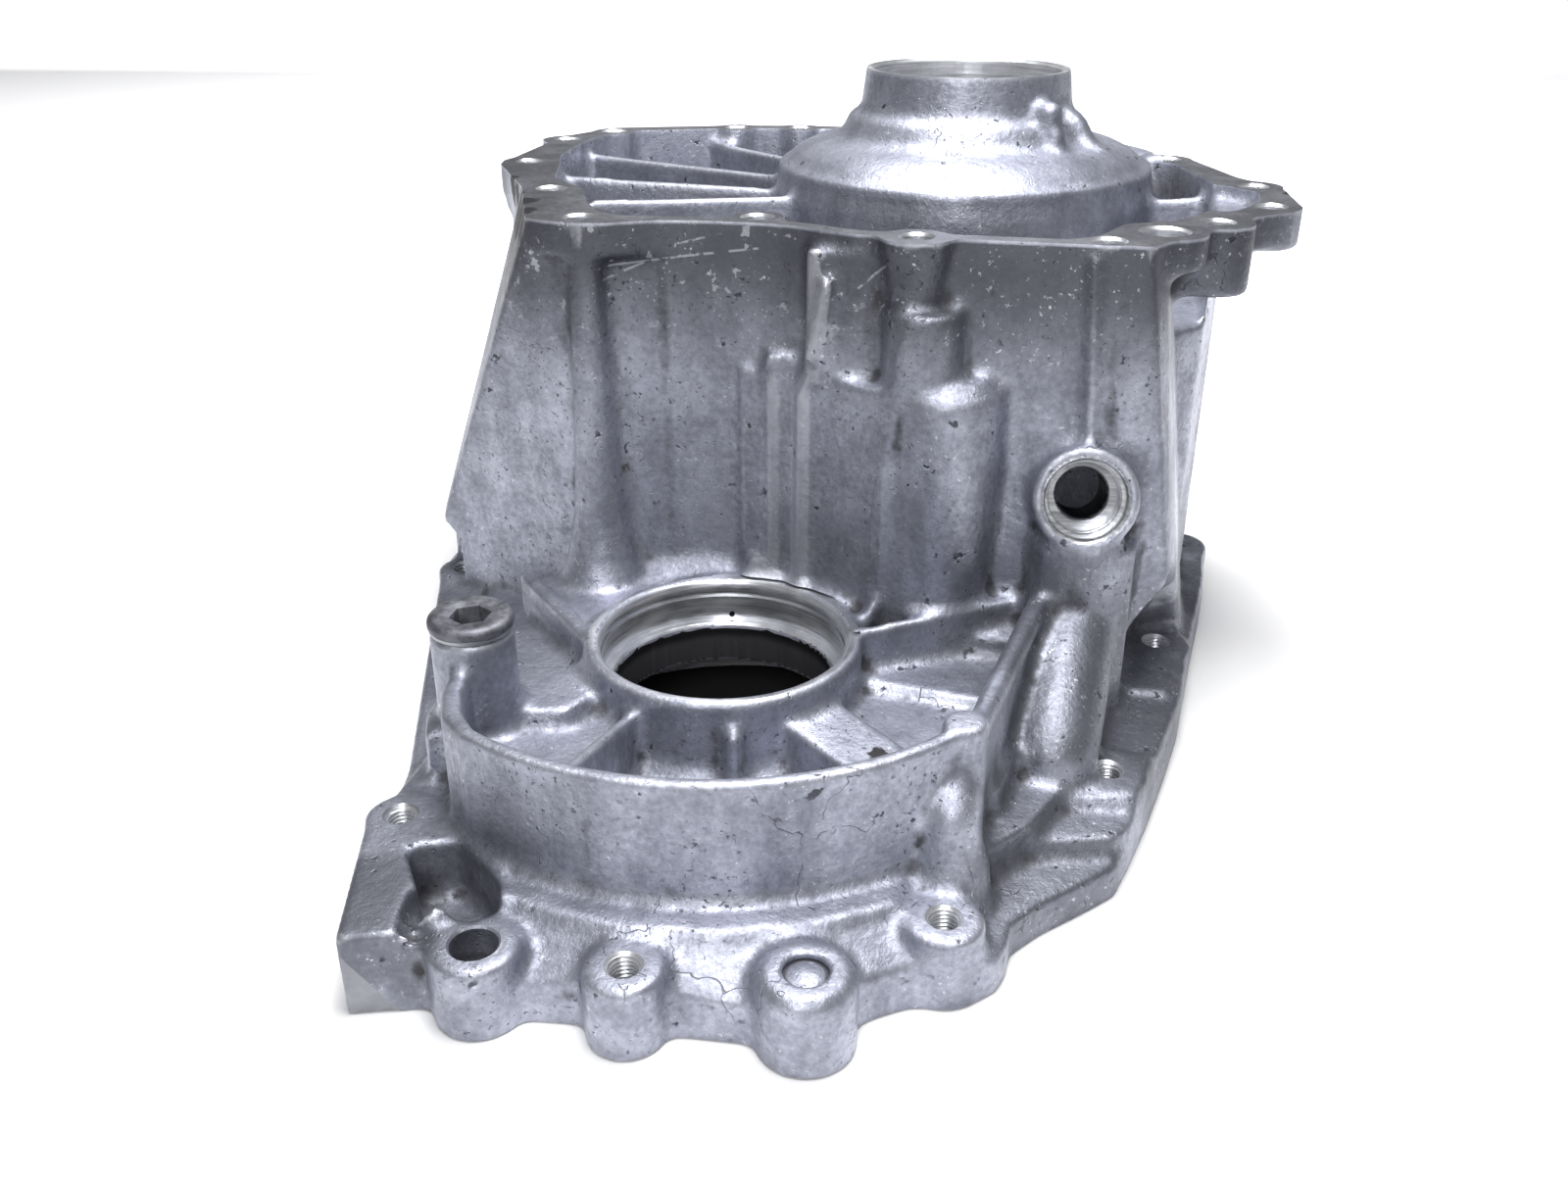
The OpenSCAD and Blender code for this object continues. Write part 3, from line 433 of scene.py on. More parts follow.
class MetalGrid:
    """The share of metal in each cell of a grid, found from a closed mesh.

    A line up the middle of each column of cells enters metal at a face that looks down and leaves it at one
    that looks up, so the running sum of +1 and -1 at the crossings is 1 inside the metal."""

    def __init__(self, mesh):
        mesh.calc_loop_triangles()
        tri = read_rows(mesh.loop_triangles, "vertices", 3)
        co = coords(mesh) / MM
        self.low = co.min(0) - MARGIN
        self.low[:2] += LINE_SHIFT
        count = np.ceil((co.max(0) + MARGIN - self.low) / GRID_PITCH).astype(int)
        grid = np.zeros(count)
        corners = ((co - self.low) / GRID_PITCH)[tri]
        low = np.ceil(corners[:, :, :2].min(1) - 1e-9).astype(int)
        wide = np.floor(corners[:, :, :2].max(1) + 1e-9).astype(int) - low + 1
        use = (wide > 0).all(1)
        corners, low, wide = corners[use], low[use], wide[use]
        many = wide.prod(1)
        owner = np.repeat(np.arange(len(many)), many)
        place = np.arange(many.sum()) - np.repeat(np.cumsum(many) - many, many)
        cell = low[owner] + np.stack([place // wide[owner, 1], place % wide[owner, 1]], 1)
        q = corners[owner]
        a, b, c = (q[:, k, :2] - cell for k in range(3))
        wa, wb, wc = (u[:, 0] * v[:, 1] - u[:, 1] * v[:, 0] for u, v in ((b, c), (c, a), (a, b)))
        hit = ((wa > 0) & (wb > 0) & (wc > 0)) | ((wa < 0) & (wb < 0) & (wc < 0))
        wa, wb, wc, q, cell = wa[hit], wb[hit], wc[hit], q[hit], cell[hit]
        area = wa + wb + wc
        z = (wa * q[:, 0, 2] + wb * q[:, 1, 2] + wc * q[:, 2, 2]) / area
        k = np.floor(z + 0.5).astype(int)
        above = k + 0.5 - z
        step = -np.sign(area)
        np.add.at(grid, (cell[:, 0], cell[:, 1], k), step * above)
        np.add.at(grid, (cell[:, 0], cell[:, 1], k + 1), step * (1 - above))
        self.metal = np.clip(np.cumsum(grid, 2), 0, 1)

    def cells(self, across=1):
        """The x, y and z of the middles of blocks of so many cells across, in the drawing's frame, shaped
        to be mixed."""
        middle = (across - 1) / 2
        x, y, z = (
            self.low[k] - HOME[k] + (across * np.arange(self.metal.shape[k] // across) + middle) * GRID_PITCH
            for k in range(3))
        return x[:, None, None], y[None, :, None], z[None, None, :]

    def machined(self):
        """Takes the cuts of the two flange faces, the bores, their rims and the holes from the grid."""
        x, y, z = self.cells()
        front, rear = np.hypot(x, y), np.hypot(x - REAR_AXIS[0], y - REAR_AXIS[1])
        self.metal *= np.clip((z - JOINT_Z) / GRID_PITCH + 0.5, 0, 1)
        for level, where in ((DECK_Z, rear > FLANGE_INNER_R), (RING_Z, front < 52), (SNOUT_Z, rear < 50)):
            below = np.clip((level - z) / GRID_PITCH + 0.5, 0, 1)
            self.metal *= np.where(where, below, 1)
        self.metal *= ~((front < FRONT_THROAT_R) | ((front < FRONT_BORE_R) & (z > SEAT_Z)))
        self.metal *= ~((rear < SNOUT_THROAT_R) | ((rear < SNOUT_BORE_R) & (z > SNOUT_SEAT_Z)))
        holes = [(*LOBE_RECESS, LOBE_RECESS_R, LOBE_RECESS_Z + 0.2), (*BLIND_HOLE, BLIND_HOLE_R, 8)]
        holes += [(hole_x, hole_y, THREAD_R, JOINT_Z) for hole_x, hole_y, top in JOINT_BOLTS]
        holes += [(hole_x, hole_y, DECK_HOLE_R, DECK_Z - depth) for hole_x, hole_y, depth in DECK_BOLTS]
        for hole_x, hole_y, r, floor in holes:
            self.metal *= ~((np.hypot(x - hole_x, y - hole_y) < r) & (z > floor))

    def blurred(self, reach):
        """The metal grid blurred by a Gaussian of that reach in mm, as a product of its Fourier transform."""
        shape = self.metal.shape
        k = [np.fft.fftfreq(shape[0]), np.fft.fftfreq(shape[1]), np.fft.rfftfreq(shape[2])]
        kk = k[0][:, None, None] ** 2 + k[1][None, :, None] ** 2 + k[2][None, None, :] ** 2
        gain = np.exp(-2 * (np.pi * reach / GRID_PITCH) ** 2 * kk)
        return np.fft.irfftn(np.fft.rfftn(self.metal) * gain, s=shape)

    def read(self, grid, points):
        """Reads a grid at points in row metres, between its cells by three-way linear mixing."""
        p = np.clip((points / MM - self.low) / GRID_PITCH, 0, np.array(grid.shape) - 1.001)
        i = np.floor(p).astype(int)
        f = p - i
        out = np.zeros(len(p))
        for dx, dy, dz in np.ndindex(2, 2, 2):
            w = np.abs(1 - dx - f[:, 0]) * np.abs(1 - dy - f[:, 1]) * np.abs(1 - dz - f[:, 2])
            out += w * grid[i[:, 0] + dx, i[:, 1] + dy, i[:, 2] + dz]
        return out

    def open_to_outside(self, points, normals):
        """Whether the air in front of a point is the air round the part. Air spreads from the top of the
        grid through blocks of 2 x 2 x 2 cells; the floor and the bores are shut, so it stays out of the
        hollow. One more block on every side takes in the narrow places."""
        n = np.array(self.metal.shape) // 2
        blocks = self.metal[:2 * n[0], :2 * n[1], :2 * n[2]]
        blocks = blocks.reshape(n[0], 2, n[1], 2, n[2], 2).mean((1, 3, 5))
        x, y, z = self.cells(2)
        shut = (blocks > 0.45) | (z < 3)
        shut |= (np.hypot(x, y) < FRONT_BORE_R + 2) & (z < RING_Z - 5)
        shut |= (np.hypot(x - REAR_AXIS[0], y - REAR_AXIS[1]) < SNOUT_BORE_R + 2) & (z < SNOUT_Z - 5)
        shut |= (np.hypot(x - PLUG_AXIS[0], y - PLUG_AXIS[1]) < 13) & (z < PLUG_SEAT_Z - 4)
        inv = np.array(sensor_matrix().inverted())
        across, along, deep = (x * inv[k, 0] + y * inv[k, 1] + z * inv[k, 2] + inv[k, 3] for k in range(3))
        shut |= (np.hypot(across, along) < SENSOR_COUNTERBORE_R) & (deep < -3) & (deep > -60)
        seen = np.zeros(n, bool)
        seen[:, :, -1] = True
        size = 0
        while seen.sum() > size:
            size = seen.sum()
            for _ in range(4):
                seen = spread(seen) & ~shut | seen
        seen = spread(seen)
        at = points / MM + normals * 2.5
        at[:, 2] = np.maximum(at[:, 2], 6)
        cell = np.clip(np.floor(((at - self.low) / GRID_PITCH + 0.5) / 2).astype(int), 0, n - 1)
        return seen[cell[:, 0], cell[:, 1], cell[:, 2]]

    def open_sky(self, points, normals, lines=44, steps=15, reach=80.0):
        """The share of lines from a point that leave without meeting metal, lines near the normal counting
        more. Lines go out in a sunflower pattern, and steps along each grow with distance."""
        k = np.arange(lines) + 0.5
        high = 1 - 2 * k / lines
        turn = np.pi * (1 + 5 ** 0.5) * k
        wide = np.sqrt(1 - high ** 2)
        ways = np.stack([wide * np.cos(turn), wide * np.sin(turn), high], 1)
        start = points / MM + normals * 2.2
        far = 1.6 * (reach / 1.6) ** (np.arange(steps) / (steps - 1))
        top = np.array(self.metal.shape) - 1
        light, weight = np.zeros(len(points)), np.zeros(len(points))
        for way in ways:
            facing = np.clip(normals @ way, 0, 1)
            use = facing > 0.05
            clear = np.ones(use.sum())
            for d in far:
                q = np.round((start[use] + way * d - self.low) / GRID_PITCH).astype(int)
                q = np.clip(q, 0, top)
                clear *= 1 - np.clip(self.metal[q[:, 0], q[:, 1], q[:, 2]] * 1.6 - 0.3, 0, 1)
            light[use] += facing[use] * clear
            weight += facing
        return light / np.maximum(weight, 1e-6)


def spread(cells):
    """Marked cells and their six neighbours."""
    out = cells.copy()
    for axis in range(3):
        new, old = np.moveaxis(out, axis, 0), np.moveaxis(cells, axis, 0)
        new[1:] |= old[:-1]
        new[:-1] |= old[1:]
    return out


def store(mesh, name, values):
    """Keeps one value per vertex under a name that the materials read."""
    attribute = mesh.attributes.get(name) or mesh.attributes.new(name, "FLOAT", "POINT")
    attribute.data.foreach_set("value", np.asarray(values, np.float32))


# Which faces are machined
CAST, MACHINED, DECK, BORE, THROAT = 0, 1, 2, 3, 4


def finish_of_faces(mesh):
    """Material index of each face, from its centre and normal in the drawing's frame."""
    c = read_triples(mesh.polygons, "center") / MM - HOME
    n = read_triples(mesh.polygons, "normal")
    x, y, z = c.T
    out = np.full(len(c), CAST, np.int32)
    r_front = np.hypot(x, y)
    r_rear = np.hypot(x - REAR_AXIS[0], y - REAR_AXIS[1])
    out[(np.abs(z - JOINT_Z) < 0.05) & (n[:, 2] < -0.9)] = MACHINED
    out[(np.abs(z - DECK_Z) < 0.05) & (n[:, 2] > 0.9) & (r_rear > FLANGE_INNER_R)] = DECK
    out[(r_front < FRONT_THROAT_R + 0.05) & (z > ROOM_Z + 1.7) & (z < SEAT_Z - 0.9)] = THROAT
    out[(r_front < 42.5) & (z > ROOM_Z - 0.1) & (z < ROOM_Z + 1.7)] = BORE
    out[(r_front < 46.6) & (z > SEAT_Z - 0.9) & (z < RING_Z + 0.1)] = BORE
    out[(r_front < RING_R - 0.6) & (np.abs(z - RING_Z) < 0.05) & (n[:, 2] > 0.9)] = BORE
    out[(r_rear < 41.6) & (z > 204)] = BORE
    out[(r_rear < 50) & (z > SNOUT_Z - 0.05)] = BORE
    s = placed(c, sensor_matrix().inverted())
    across = np.hypot(s[:, 0], s[:, 1])
    out[(across < SENSOR_COUNTERBORE_R + 1.2) & (s[:, 2] > -18.7) & (s[:, 2] < -0.05)] = BORE
    out[(across < SENSOR_BORE_R + 0.1) & (s[:, 2] > -52) & (s[:, 2] < -18.7)] = THROAT
    s = placed(c, block_matrix().inverted())
    out[(np.abs(s[:, 2] + BLOCK_MILLED) < 0.05) & (s[:, 0] < 16) & (z < 26) & (z > 0.01)] = MACHINED
    for bx, by, top in JOINT_BOLTS:
        wall = (np.hypot(x - bx, y - by) < 6.1) & (z < top + 0.1) & (z > 0.05)
        out[wall & (n[:, 2] < 0.9)] = BORE
    for bx, by, depth in [*DECK_BOLTS, DECK_DOWEL]:
        r = (DOWEL_R if depth == DECK_DOWEL[2] else DECK_HOLE_R) + 1.05
        out[(np.hypot(x - bx, y - by) < r) & (z > DECK_Z - depth - 0.1) & (z < DECK_Z - 0.02)] = BORE
    out[(np.hypot(x - PLUG_AXIS[0], y - PLUG_AXIS[1]) < 16) & (np.abs(z - PLUG_SEAT_Z) < 0.1)] = MACHINED
    return out


# Small pieces
def thread_sleeve(length):
    """A threaded wall: at angle t and height z its radius is the outer one less a rounded ridge whose
    place is z / pitch + t / 2 pi, so the ridge climbs one pitch a turn. The back of the sleeve is plain."""
    turns, around = int(length / THREAD_PITCH * 6), 36
    z = np.linspace(0, length, turns)
    t = np.linspace(0, 2 * np.pi, around, endpoint=False)
    zz, tt = np.meshgrid(z, t, indexing="ij")
    place = (zz / THREAD_PITCH + tt / (2 * np.pi)) % 1
    ridge = np.clip(1.25 - 2.5 * np.abs(place - 0.5), 0, 1)
    fade = np.clip(np.minimum(zz, length - zz) / 0.8, 0, 1)
    r = THREAD_R + 0.02 - (THREAD_R - THREAD_CORE_R) * ridge * fade
    inner = np.stack([r * np.cos(tt), r * np.sin(tt), zz], 2)
    back = THREAD_R + 0.3
    outer = np.stack([back * np.cos(tt[::-1]), back * np.sin(tt[::-1]), zz[::-1]], 2)[[0, -1]]
    rows = np.concatenate([inner, outer])
    return rows.reshape(-1, 3), grid_faces(len(rows), around, close_rows=True)


def make_threads():
    parts = [shifted(thread_sleeve(top - 2.2), (x, y, 1.2)) for x, y, top in JOINT_BOLTS]
    return solid("bolt_hole_threads", joined(parts), 60)


def make_plug():
    """The plug's head: rings of radius r(row) round the axis, which turn from a circle to the socket's
    hexagon, whose radius at angle t is half the key over the cosine of the angle from its nearest flat."""
    around = 96
    t = np.linspace(0, 2 * np.pi, around, endpoint=False)
    flat = (t + math.pi / 6) % (math.pi / 3) - math.pi / 6
    hexagon = (PLUG_KEY / 2) / np.cos(flat)
    h, r = PLUG_HEAD_H, PLUG_HEAD_R
    rows = [
        (PLUG_SHANK_R, -16), (PLUG_SHANK_R, -0.01), (PLUG_SHANK_R + 0.3, 0), (r - 0.7, 0), (r - 0.2, 0.25),
        (r, 0.8), (r, h - 1.9), (r - 0.25, h - 1.2), (r - 0.9, h - 0.5), (r - 1.9, h - 0.1), (r - 3, h),
        (9.4, h), (8.9, h - 0.15), (hexagon + 1.0, h - 0.5), (hexagon + 0.25, h - 0.75),
        (hexagon, h - 1.2), (hexagon, h - 7.6), (hexagon - 0.5, h - 8), (hexagon * 0.5, h - 8.3)]
    xyz = np.array([np.stack([rad * np.cos(t), rad * np.sin(t), np.full(around, z)], 1) for rad, z in rows])
    part = shifted(capped(xyz, -16, h - 8.6), (*PLUG_AXIS, PLUG_SEAT_Z + WASHER_T))
    return solid("filler_plug_head", part, 40)


def make_washer():
    """A flat ring with a small bevel on its outer edges."""
    r0, r1, t = 12.2, PLUG_HEAD_R - 0.5, WASHER_T
    part = ring_solid([(r0, 0), (r1 - 0.25, 0), (r1, 0.25), (r1, t - 0.25), (r1 - 0.25, t), (r0, t)], 96)
    return solid("filler_plug_washer", shifted(part, (*PLUG_AXIS, PLUG_SEAT_Z)))


# Materials
# Black spots, as balls on the surface: x, y, z and radius
BLACK_SPOTS = [
    (-123, 126, 191, 8), (-118, 113, 190, 8), (-107, 94, 189, 9), (-98, 78, 189, 11), (-89, 61, 190, 8),
    (196, 156, 193, 5), (-8, 44.8, 42.0, 1.4), (66, -50, 47, 6)]
# Oily places with painted shade, as soft balls: x, y, z and radius
OILY_AND_SHADED_SPOTS = [(124, 0, 60, 52), (150, 30, 25, 60), (160, 110, 25, 60), (-68, -136, 28, 34), (118, -60, 15, 45)]
# Colours, as linear red, green and blue
METAL_DARK, METAL_LIGHT = (0.27, 0.28, 0.335), (0.50, 0.515, 0.60)
DECK_DARK, DECK_LIGHT = (0.15, 0.152, 0.17), (0.26, 0.265, 0.29)
BORE_DARK, BORE_LIGHT, BORE_BLACK_SPOT = (0.50, 0.51, 0.54), (0.88, 0.89, 0.92), (0.01, 0.01, 0.012)
PLUG_DARK, PLUG_LIGHT = (0.09, 0.09, 0.105), (0.22, 0.225, 0.25)
UPPER_WALL_SHADE, OIL_FILM_AND_SHADE, WORN_EDGE = (0.085, 0.088, 0.103), (0.10, 0.103, 0.12), (0.76, 0.77, 0.82)
PALE_SPECK, DARK_SPECK, GRIME_AND_SHADE = (0.80, 0.81, 0.86), (0.04, 0.04, 0.05), (0.028, 0.028, 0.034)
FLOW_LINE, BARE_METAL, BLACK = (0.06, 0.06, 0.07), (0.66, 0.67, 0.71), (0.008, 0.008, 0.010)
# Scratches on the front wall: x and z of their two ends
SCRATCHES = [
    ((-55, 178), (2, 186)), ((-63, 170), (-40, 180)), ((-30, 186), (-12, 191)), ((40, 176), (52, 187))]


def new_group(name, inputs, outputs):
    """An empty node group with a Vector input, number inputs (name, default) and number outputs, and
    what fills it: its Nodes, the sockets that it reads and the sockets that it sets."""
    group = bpy.data.node_groups.new(name, "ShaderNodeTree")
    group.interface.new_socket("Vector", in_out="INPUT", socket_type="NodeSocketVector")
    for label, default in inputs:
        sock = group.interface.new_socket(label, in_out="INPUT", socket_type="NodeSocketFloat")
        sock.default_value = default
    for label in outputs:
        group.interface.new_socket(label, in_out="OUTPUT", socket_type="NodeSocketFloat")
    read, given = group.nodes.new("NodeGroupInput"), group.nodes.new("NodeGroupOutput")
    return group, Nodes(group), read.outputs, given.inputs


class Nodes:
    """Short calls that add nodes to one tree; a value that is a socket is linked, any other is set."""

    def __init__(self, tree):
        self.tree = tree

    def put(self, socket, value):
        if isinstance(value, bpy.types.NodeSocket):
            self.tree.links.new(value, socket)
        elif value is not None:
            socket.default_value = value

    def put_all(self, node, **values):
        for key, value in values.items():
            self.put(node.inputs[key.replace("_", " ")], value)
        return node

    def math(self, operation, a, b=None):
        node = self.tree.nodes.new("ShaderNodeMath")
        node.operation = operation
        for sock, value in zip(node.inputs, (a, b)):
            self.put(sock, value)
        return node.outputs[0]

    def chain(self, operation, values):
        """One math node after another: the result so far with the next value."""
        result, *rest = values
        for value in rest:
            result = self.math(operation, result, value)
        return result

    def times(self, *values):
        return self.chain("MULTIPLY", values)

    def plus(self, *values):
        return self.chain("ADD", values)

    def less(self, a, b):
        return self.math("SUBTRACT", a, b)

    def most(self, *values):
        return self.chain("MAXIMUM", values)

    def vector(self, operation, a, b):
        node = self.tree.nodes.new("ShaderNodeVectorMath")
        node.operation = operation
        self.put(node.inputs[0], a)
        self.put(node.inputs["Scale" if operation == "SCALE" else 1], b)
        return node.outputs["Value" if operation == "DISTANCE" else "Vector"]

    def noise(self, vector, scale, detail=2.0, rough=0.5, output="Fac"):
        node = self.tree.nodes.new("ShaderNodeTexNoise")
        return self.put_all(
            node, Vector=vector, Scale=scale, Detail=detail, Roughness=rough).outputs[output]

    def cell_border(self, vector, scale):
        """The distance to the nearest border between Voronoi cells."""
        node = self.tree.nodes.new("ShaderNodeTexVoronoi")
        node.feature = "DISTANCE_TO_EDGE"
        return self.put_all(node, Vector=vector, Scale=scale).outputs["Distance"]

    def span(self, value, low, high, to_low=0.0, to_high=1.0):
        """value from low..high to to_low..to_high, held at the ends, smoothly."""
        node = self.tree.nodes.new("ShaderNodeMapRange")
        node.interpolation_type = "SMOOTHSTEP"
        return self.put_all(
            node, Value=value, From_Min=low, From_Max=high, To_Min=to_low, To_Max=to_high).outputs["Result"]

    def mix(self, share, a, b, blend="MIX"):
        node = self.tree.nodes.new("ShaderNodeMix")
        node.data_type, node.blend_type = "RGBA", blend
        self.put(node.inputs["Factor"], share)
        for sock, value in ((node.inputs[6], a), (node.inputs[7], b)):
            self.put(sock, (*value, 1) if isinstance(value, tuple) else value)
        return node.outputs[2]

    def attribute(self, name):
        node = self.tree.nodes.new("ShaderNodeAttribute")
        node.attribute_name = name
        return node.outputs["Fac"]

    def position(self):
        return self.tree.nodes.new("ShaderNodeTexCoord").outputs["Object"]

    def drawing(self, vector):
        """x, y and z of the drawing, in mm, from Object coordinates."""
        node = self.tree.nodes.new("ShaderNodeSeparateXYZ")
        moved = self.vector("SUBTRACT", self.vector("SCALE", vector, 1 / MM), tuple(HOME))
        self.put(node.inputs[0], moved)
        return list(node.outputs)

    def group(self, group, **values):
        node = self.tree.nodes.new("ShaderNodeGroup")
        node.node_tree = group
        return self.put_all(node, **values).outputs


def grain_group():
    """Cast grain: a height of fine noise over broad swells, pale and dark specks as the parts of a noise
    above or below a limit, where a broader noise allows them, and a patchy tone."""
    group, n, read, given = new_group("casting_grain", [], ["Height", "Pale", "Dark", "Tone"])
    v = read["Vector"]
    fine = n.noise(v, 1100.0, 3.0, 0.7)
    grain = n.noise(v, 420.0, 3.0, 0.65)
    swell = n.noise(v, 75.0, 3.0, 0.55)
    broad = n.noise(v, 22.0, 5.0, 0.6)
    pale = n.times(n.span(n.noise(v, 560.0, 2.0, 0.6), 0.62, 0.72), n.span(swell, 0.42, 0.62))
    dark = n.times(n.span(n.noise(v, 470.0, 3.0, 0.7), 0.40, 0.30), n.span(broad, 0.44, 0.60))
    deep = n.times(n.span(n.noise(v, 210.0, 2.0, 0.5), 0.33, 0.27), n.span(swell, 0.45, 0.60))
    dark = n.most(dark, deep)
    height = n.plus(n.times(fine, 0.25), n.times(grain, 0.55), n.times(swell, 1.3))
    n.put(given["Height"], n.less(height, n.times(dark, 0.5)))
    n.put(given["Pale"], pale)
    n.put(given["Dark"], dark)
    n.put(given["Tone"], n.plus(n.times(broad, 0.45), n.times(swell, 0.25), n.times(grain, 0.30)))
    return group


def grime_and_shade_group():
    """Oily dirt and painted shade: dark where little of the sky is open, which is painted shade, and in inner
    corners and hollows, which is both dirt and painted shade, broken up by noise, and a wear mask on outer
    edges."""
    group, n, read, given = new_group(
        "grime_shade_and_wear", [("Sky", 1.0), ("Corner", 0.5), ("Hollow", 0.5)], ["Grime", "Wear"])
    v = read["Vector"]
    patchy = n.noise(v, 30.0, 5.0, 0.65)
    close = n.noise(v, 190.0, 4.0, 0.7)
    jitter = n.less(n.plus(patchy, close), 1.0)
    # painted shade: darker where little of the sky is open
    shut = n.span(n.plus(read["Sky"], n.times(jitter, 0.30)), 0.10, 0.56, 1, 0)
    corner = n.span(n.less(read["Corner"], n.times(jitter, 0.14)), 0.54, 0.66)
    hollow = n.span(n.less(read["Hollow"], n.times(jitter, 0.10)), 0.58, 0.74)
    n.put(given["Grime"], n.most(n.times(shut, 0.8), n.times(corner, 0.95), n.times(hollow, 0.7)))
    n.put(given["Wear"], n.span(n.less(read["Corner"], n.times(jitter, 0.12)), 0.37, 0.27))
    return group


def spots_group(name, output, spots, grain, detail, depth, soft):
    """Dark spots: the distance to each centre against its radius, fading over the outer soft share of it.
    Noise of that grain and detail makes the edge ragged by depth, in metres, and less on small spots."""
    group, n, read, given = new_group(name, [], [output])
    v = read["Vector"]
    ragged = n.times(n.less(n.noise(v, grain, detail, 0.6), 0.5), depth)
    shades = []
    for x, y, z, r in spots:
        far = n.plus(n.vector("DISTANCE", v, tuple(in_row((x, y, z)))), n.times(ragged, min(1.0, r / 6)))
        shades.append(n.span(far, r * (1 - soft) * MM, r * MM, 1, 0))
    n.put(given[output], n.most(*shades))
    return group


def mark_group():
    """Hair lines where two flows of metal met, along the borders of warped cells, in a few patches, and
    scratches, each the distance to a straight line seen along y."""
    group, n, read, given = new_group("lines_and_scratches", [], ["Flow Line", "Scratch"])
    v = read["Vector"]
    warp = n.vector("SUBTRACT", n.noise(v, 45.0, 3.0, 0.6, output="Color"), (0.5, 0.5, 0.5))
    warp = n.vector("SCALE", warp, 0.035)
    border = n.cell_border(n.vector("ADD", v, warp), 20.0)
    patch = n.times(n.span(n.noise(v, 15.0, 1.0), 0.60, 0.66), n.span(n.noise(v, 120.0, 2.0), 0.40, 0.55))
    n.put(given["Flow Line"], n.times(n.span(border, 0.001, 0.006, 1, 0), patch))
    x, y, z = n.drawing(v)
    broken = n.span(n.noise(v, 260.0, 2.0), 0.42, 0.52)
    shades = []
    for (x0, z0), (x1, z1) in SCRATCHES:
        long = math.hypot(x1 - x0, z1 - z0)
        ux, uz = (x1 - x0) / long, (z1 - z0) / long
        along = n.plus(n.times(n.less(x, x0), ux), n.times(n.less(z, z0), uz))
        across = n.math("ABSOLUTE", n.less(n.times(n.less(x, x0), uz), n.times(n.less(z, z0), ux)))
        inside = n.times(n.span(along, 0, 1), n.span(along, long - 1, long, 1, 0))
        shades.append(n.times(n.span(across, 0.25, 0.6, 1, 0), inside, broken))
    n.put(given["Scratch"], n.most(*shades))
    return group


def base_material(name):
    mat = bpy.data.materials.new(name)
    mat.use_nodes = True
    return mat, Nodes(mat.node_tree), mat.node_tree.nodes["Principled BSDF"]


def dress(n, shader, tone, rough, metal, height, strength, distance):
    """Sets the shader's colour, roughness and share of metal, and a bump from height."""
    node = n.put_all(
        n.tree.nodes.new("ShaderNodeBump"), Height=height, Strength=strength, Distance=distance)
    n.put_all(shader, Base_Color=tone, Roughness=rough, Metallic=metal, Normal=node.outputs["Normal"])


def cast_material(groups):
    """As-cast aluminium: blue grey and patchy, with specks, bright worn edges, dirt and painted shade in the
    corners, oily patches with painted shade, and painted shade towards the top of the front wall, where it
    also has chips and scratches."""
    mat, n, shader = base_material("cast_aluminium")
    v = n.position()
    x, y, z = n.drawing(v)
    g = n.group(groups["grain"], Vector=v)
    d = n.group(
        groups["grime_and_shade"], Vector=v, Sky=n.attribute("sky"), Corner=n.attribute("corner"),
        Hollow=n.attribute("hollow"))
    m = n.group(groups["marks"], Vector=v)
    black_spot = n.group(groups["black_spot_marks"], Vector=v)["Black_Spot"]
    tone = n.mix(n.span(g["Tone"], 0.36, 0.64), METAL_DARK, METAL_LIGHT)
    streaks = n.noise(n.vector("MULTIPLY", v, (1, 1, 0.22)), 70.0, 4.0, 0.6)
    tone = n.mix(0.5, tone, n.mix(n.span(streaks, 0.3, 0.7), (0.55, 0.55, 0.56), (1, 1, 1)), "MULTIPLY")
    # The upper front wall: painted darker there as shade, and the place of its chips and scratches
    wall_top = n.times(n.span(z, 128, 186), n.span(z, 194.5, 193.5), n.span(y, 130, 100))
    chips = n.times(n.span(n.noise(v, 150.0, 3.0, 0.6), 0.63, 0.66), wall_top, n.span(x, 60, 20))
    bare = n.most(n.times(m["Scratch"], wall_top), chips)
    for share, colour in (
            # painted shade on the upper front wall
            (n.times(wall_top, 0.9), UPPER_WALL_SHADE),
            # oily patches, also darkened as painted shade
            (n.times(n.group(groups["oil_and_shade"], Vector=v)["Oil_And_Shade"], 0.6), OIL_FILM_AND_SHADE),
            (n.times(g["Pale"], 0.6), PALE_SPECK),
            (n.times(d["Wear"], 0.3, n.span(z, 2, 8)), WORN_EDGE),
            (n.times(g["Dark"], 0.85), DARK_SPECK),
            # dirt in the corners, and painted shade in corners, hollows and where little sky is open
            (d["Grime"], GRIME_AND_SHADE),
            (n.times(m["Flow Line"], 0.6), FLOW_LINE),
            (n.times(bare, 0.45), BARE_METAL),
            (black_spot, BLACK)):
        tone = n.mix(share, tone, colour)
    dull = n.most(d["Grime"], black_spot)
    rough = n.plus(n.span(g["Tone"], 0.35, 0.65, 0.56, 0.44), n.times(dull, 0.10))
    height = n.less(g["Height"], n.times(m["Flow Line"], 0.5))
    dress(n, shader, tone, rough, n.span(dull, 0, 1, 0.88, 0.15), height, 0.62, 0.0007)
    return mat


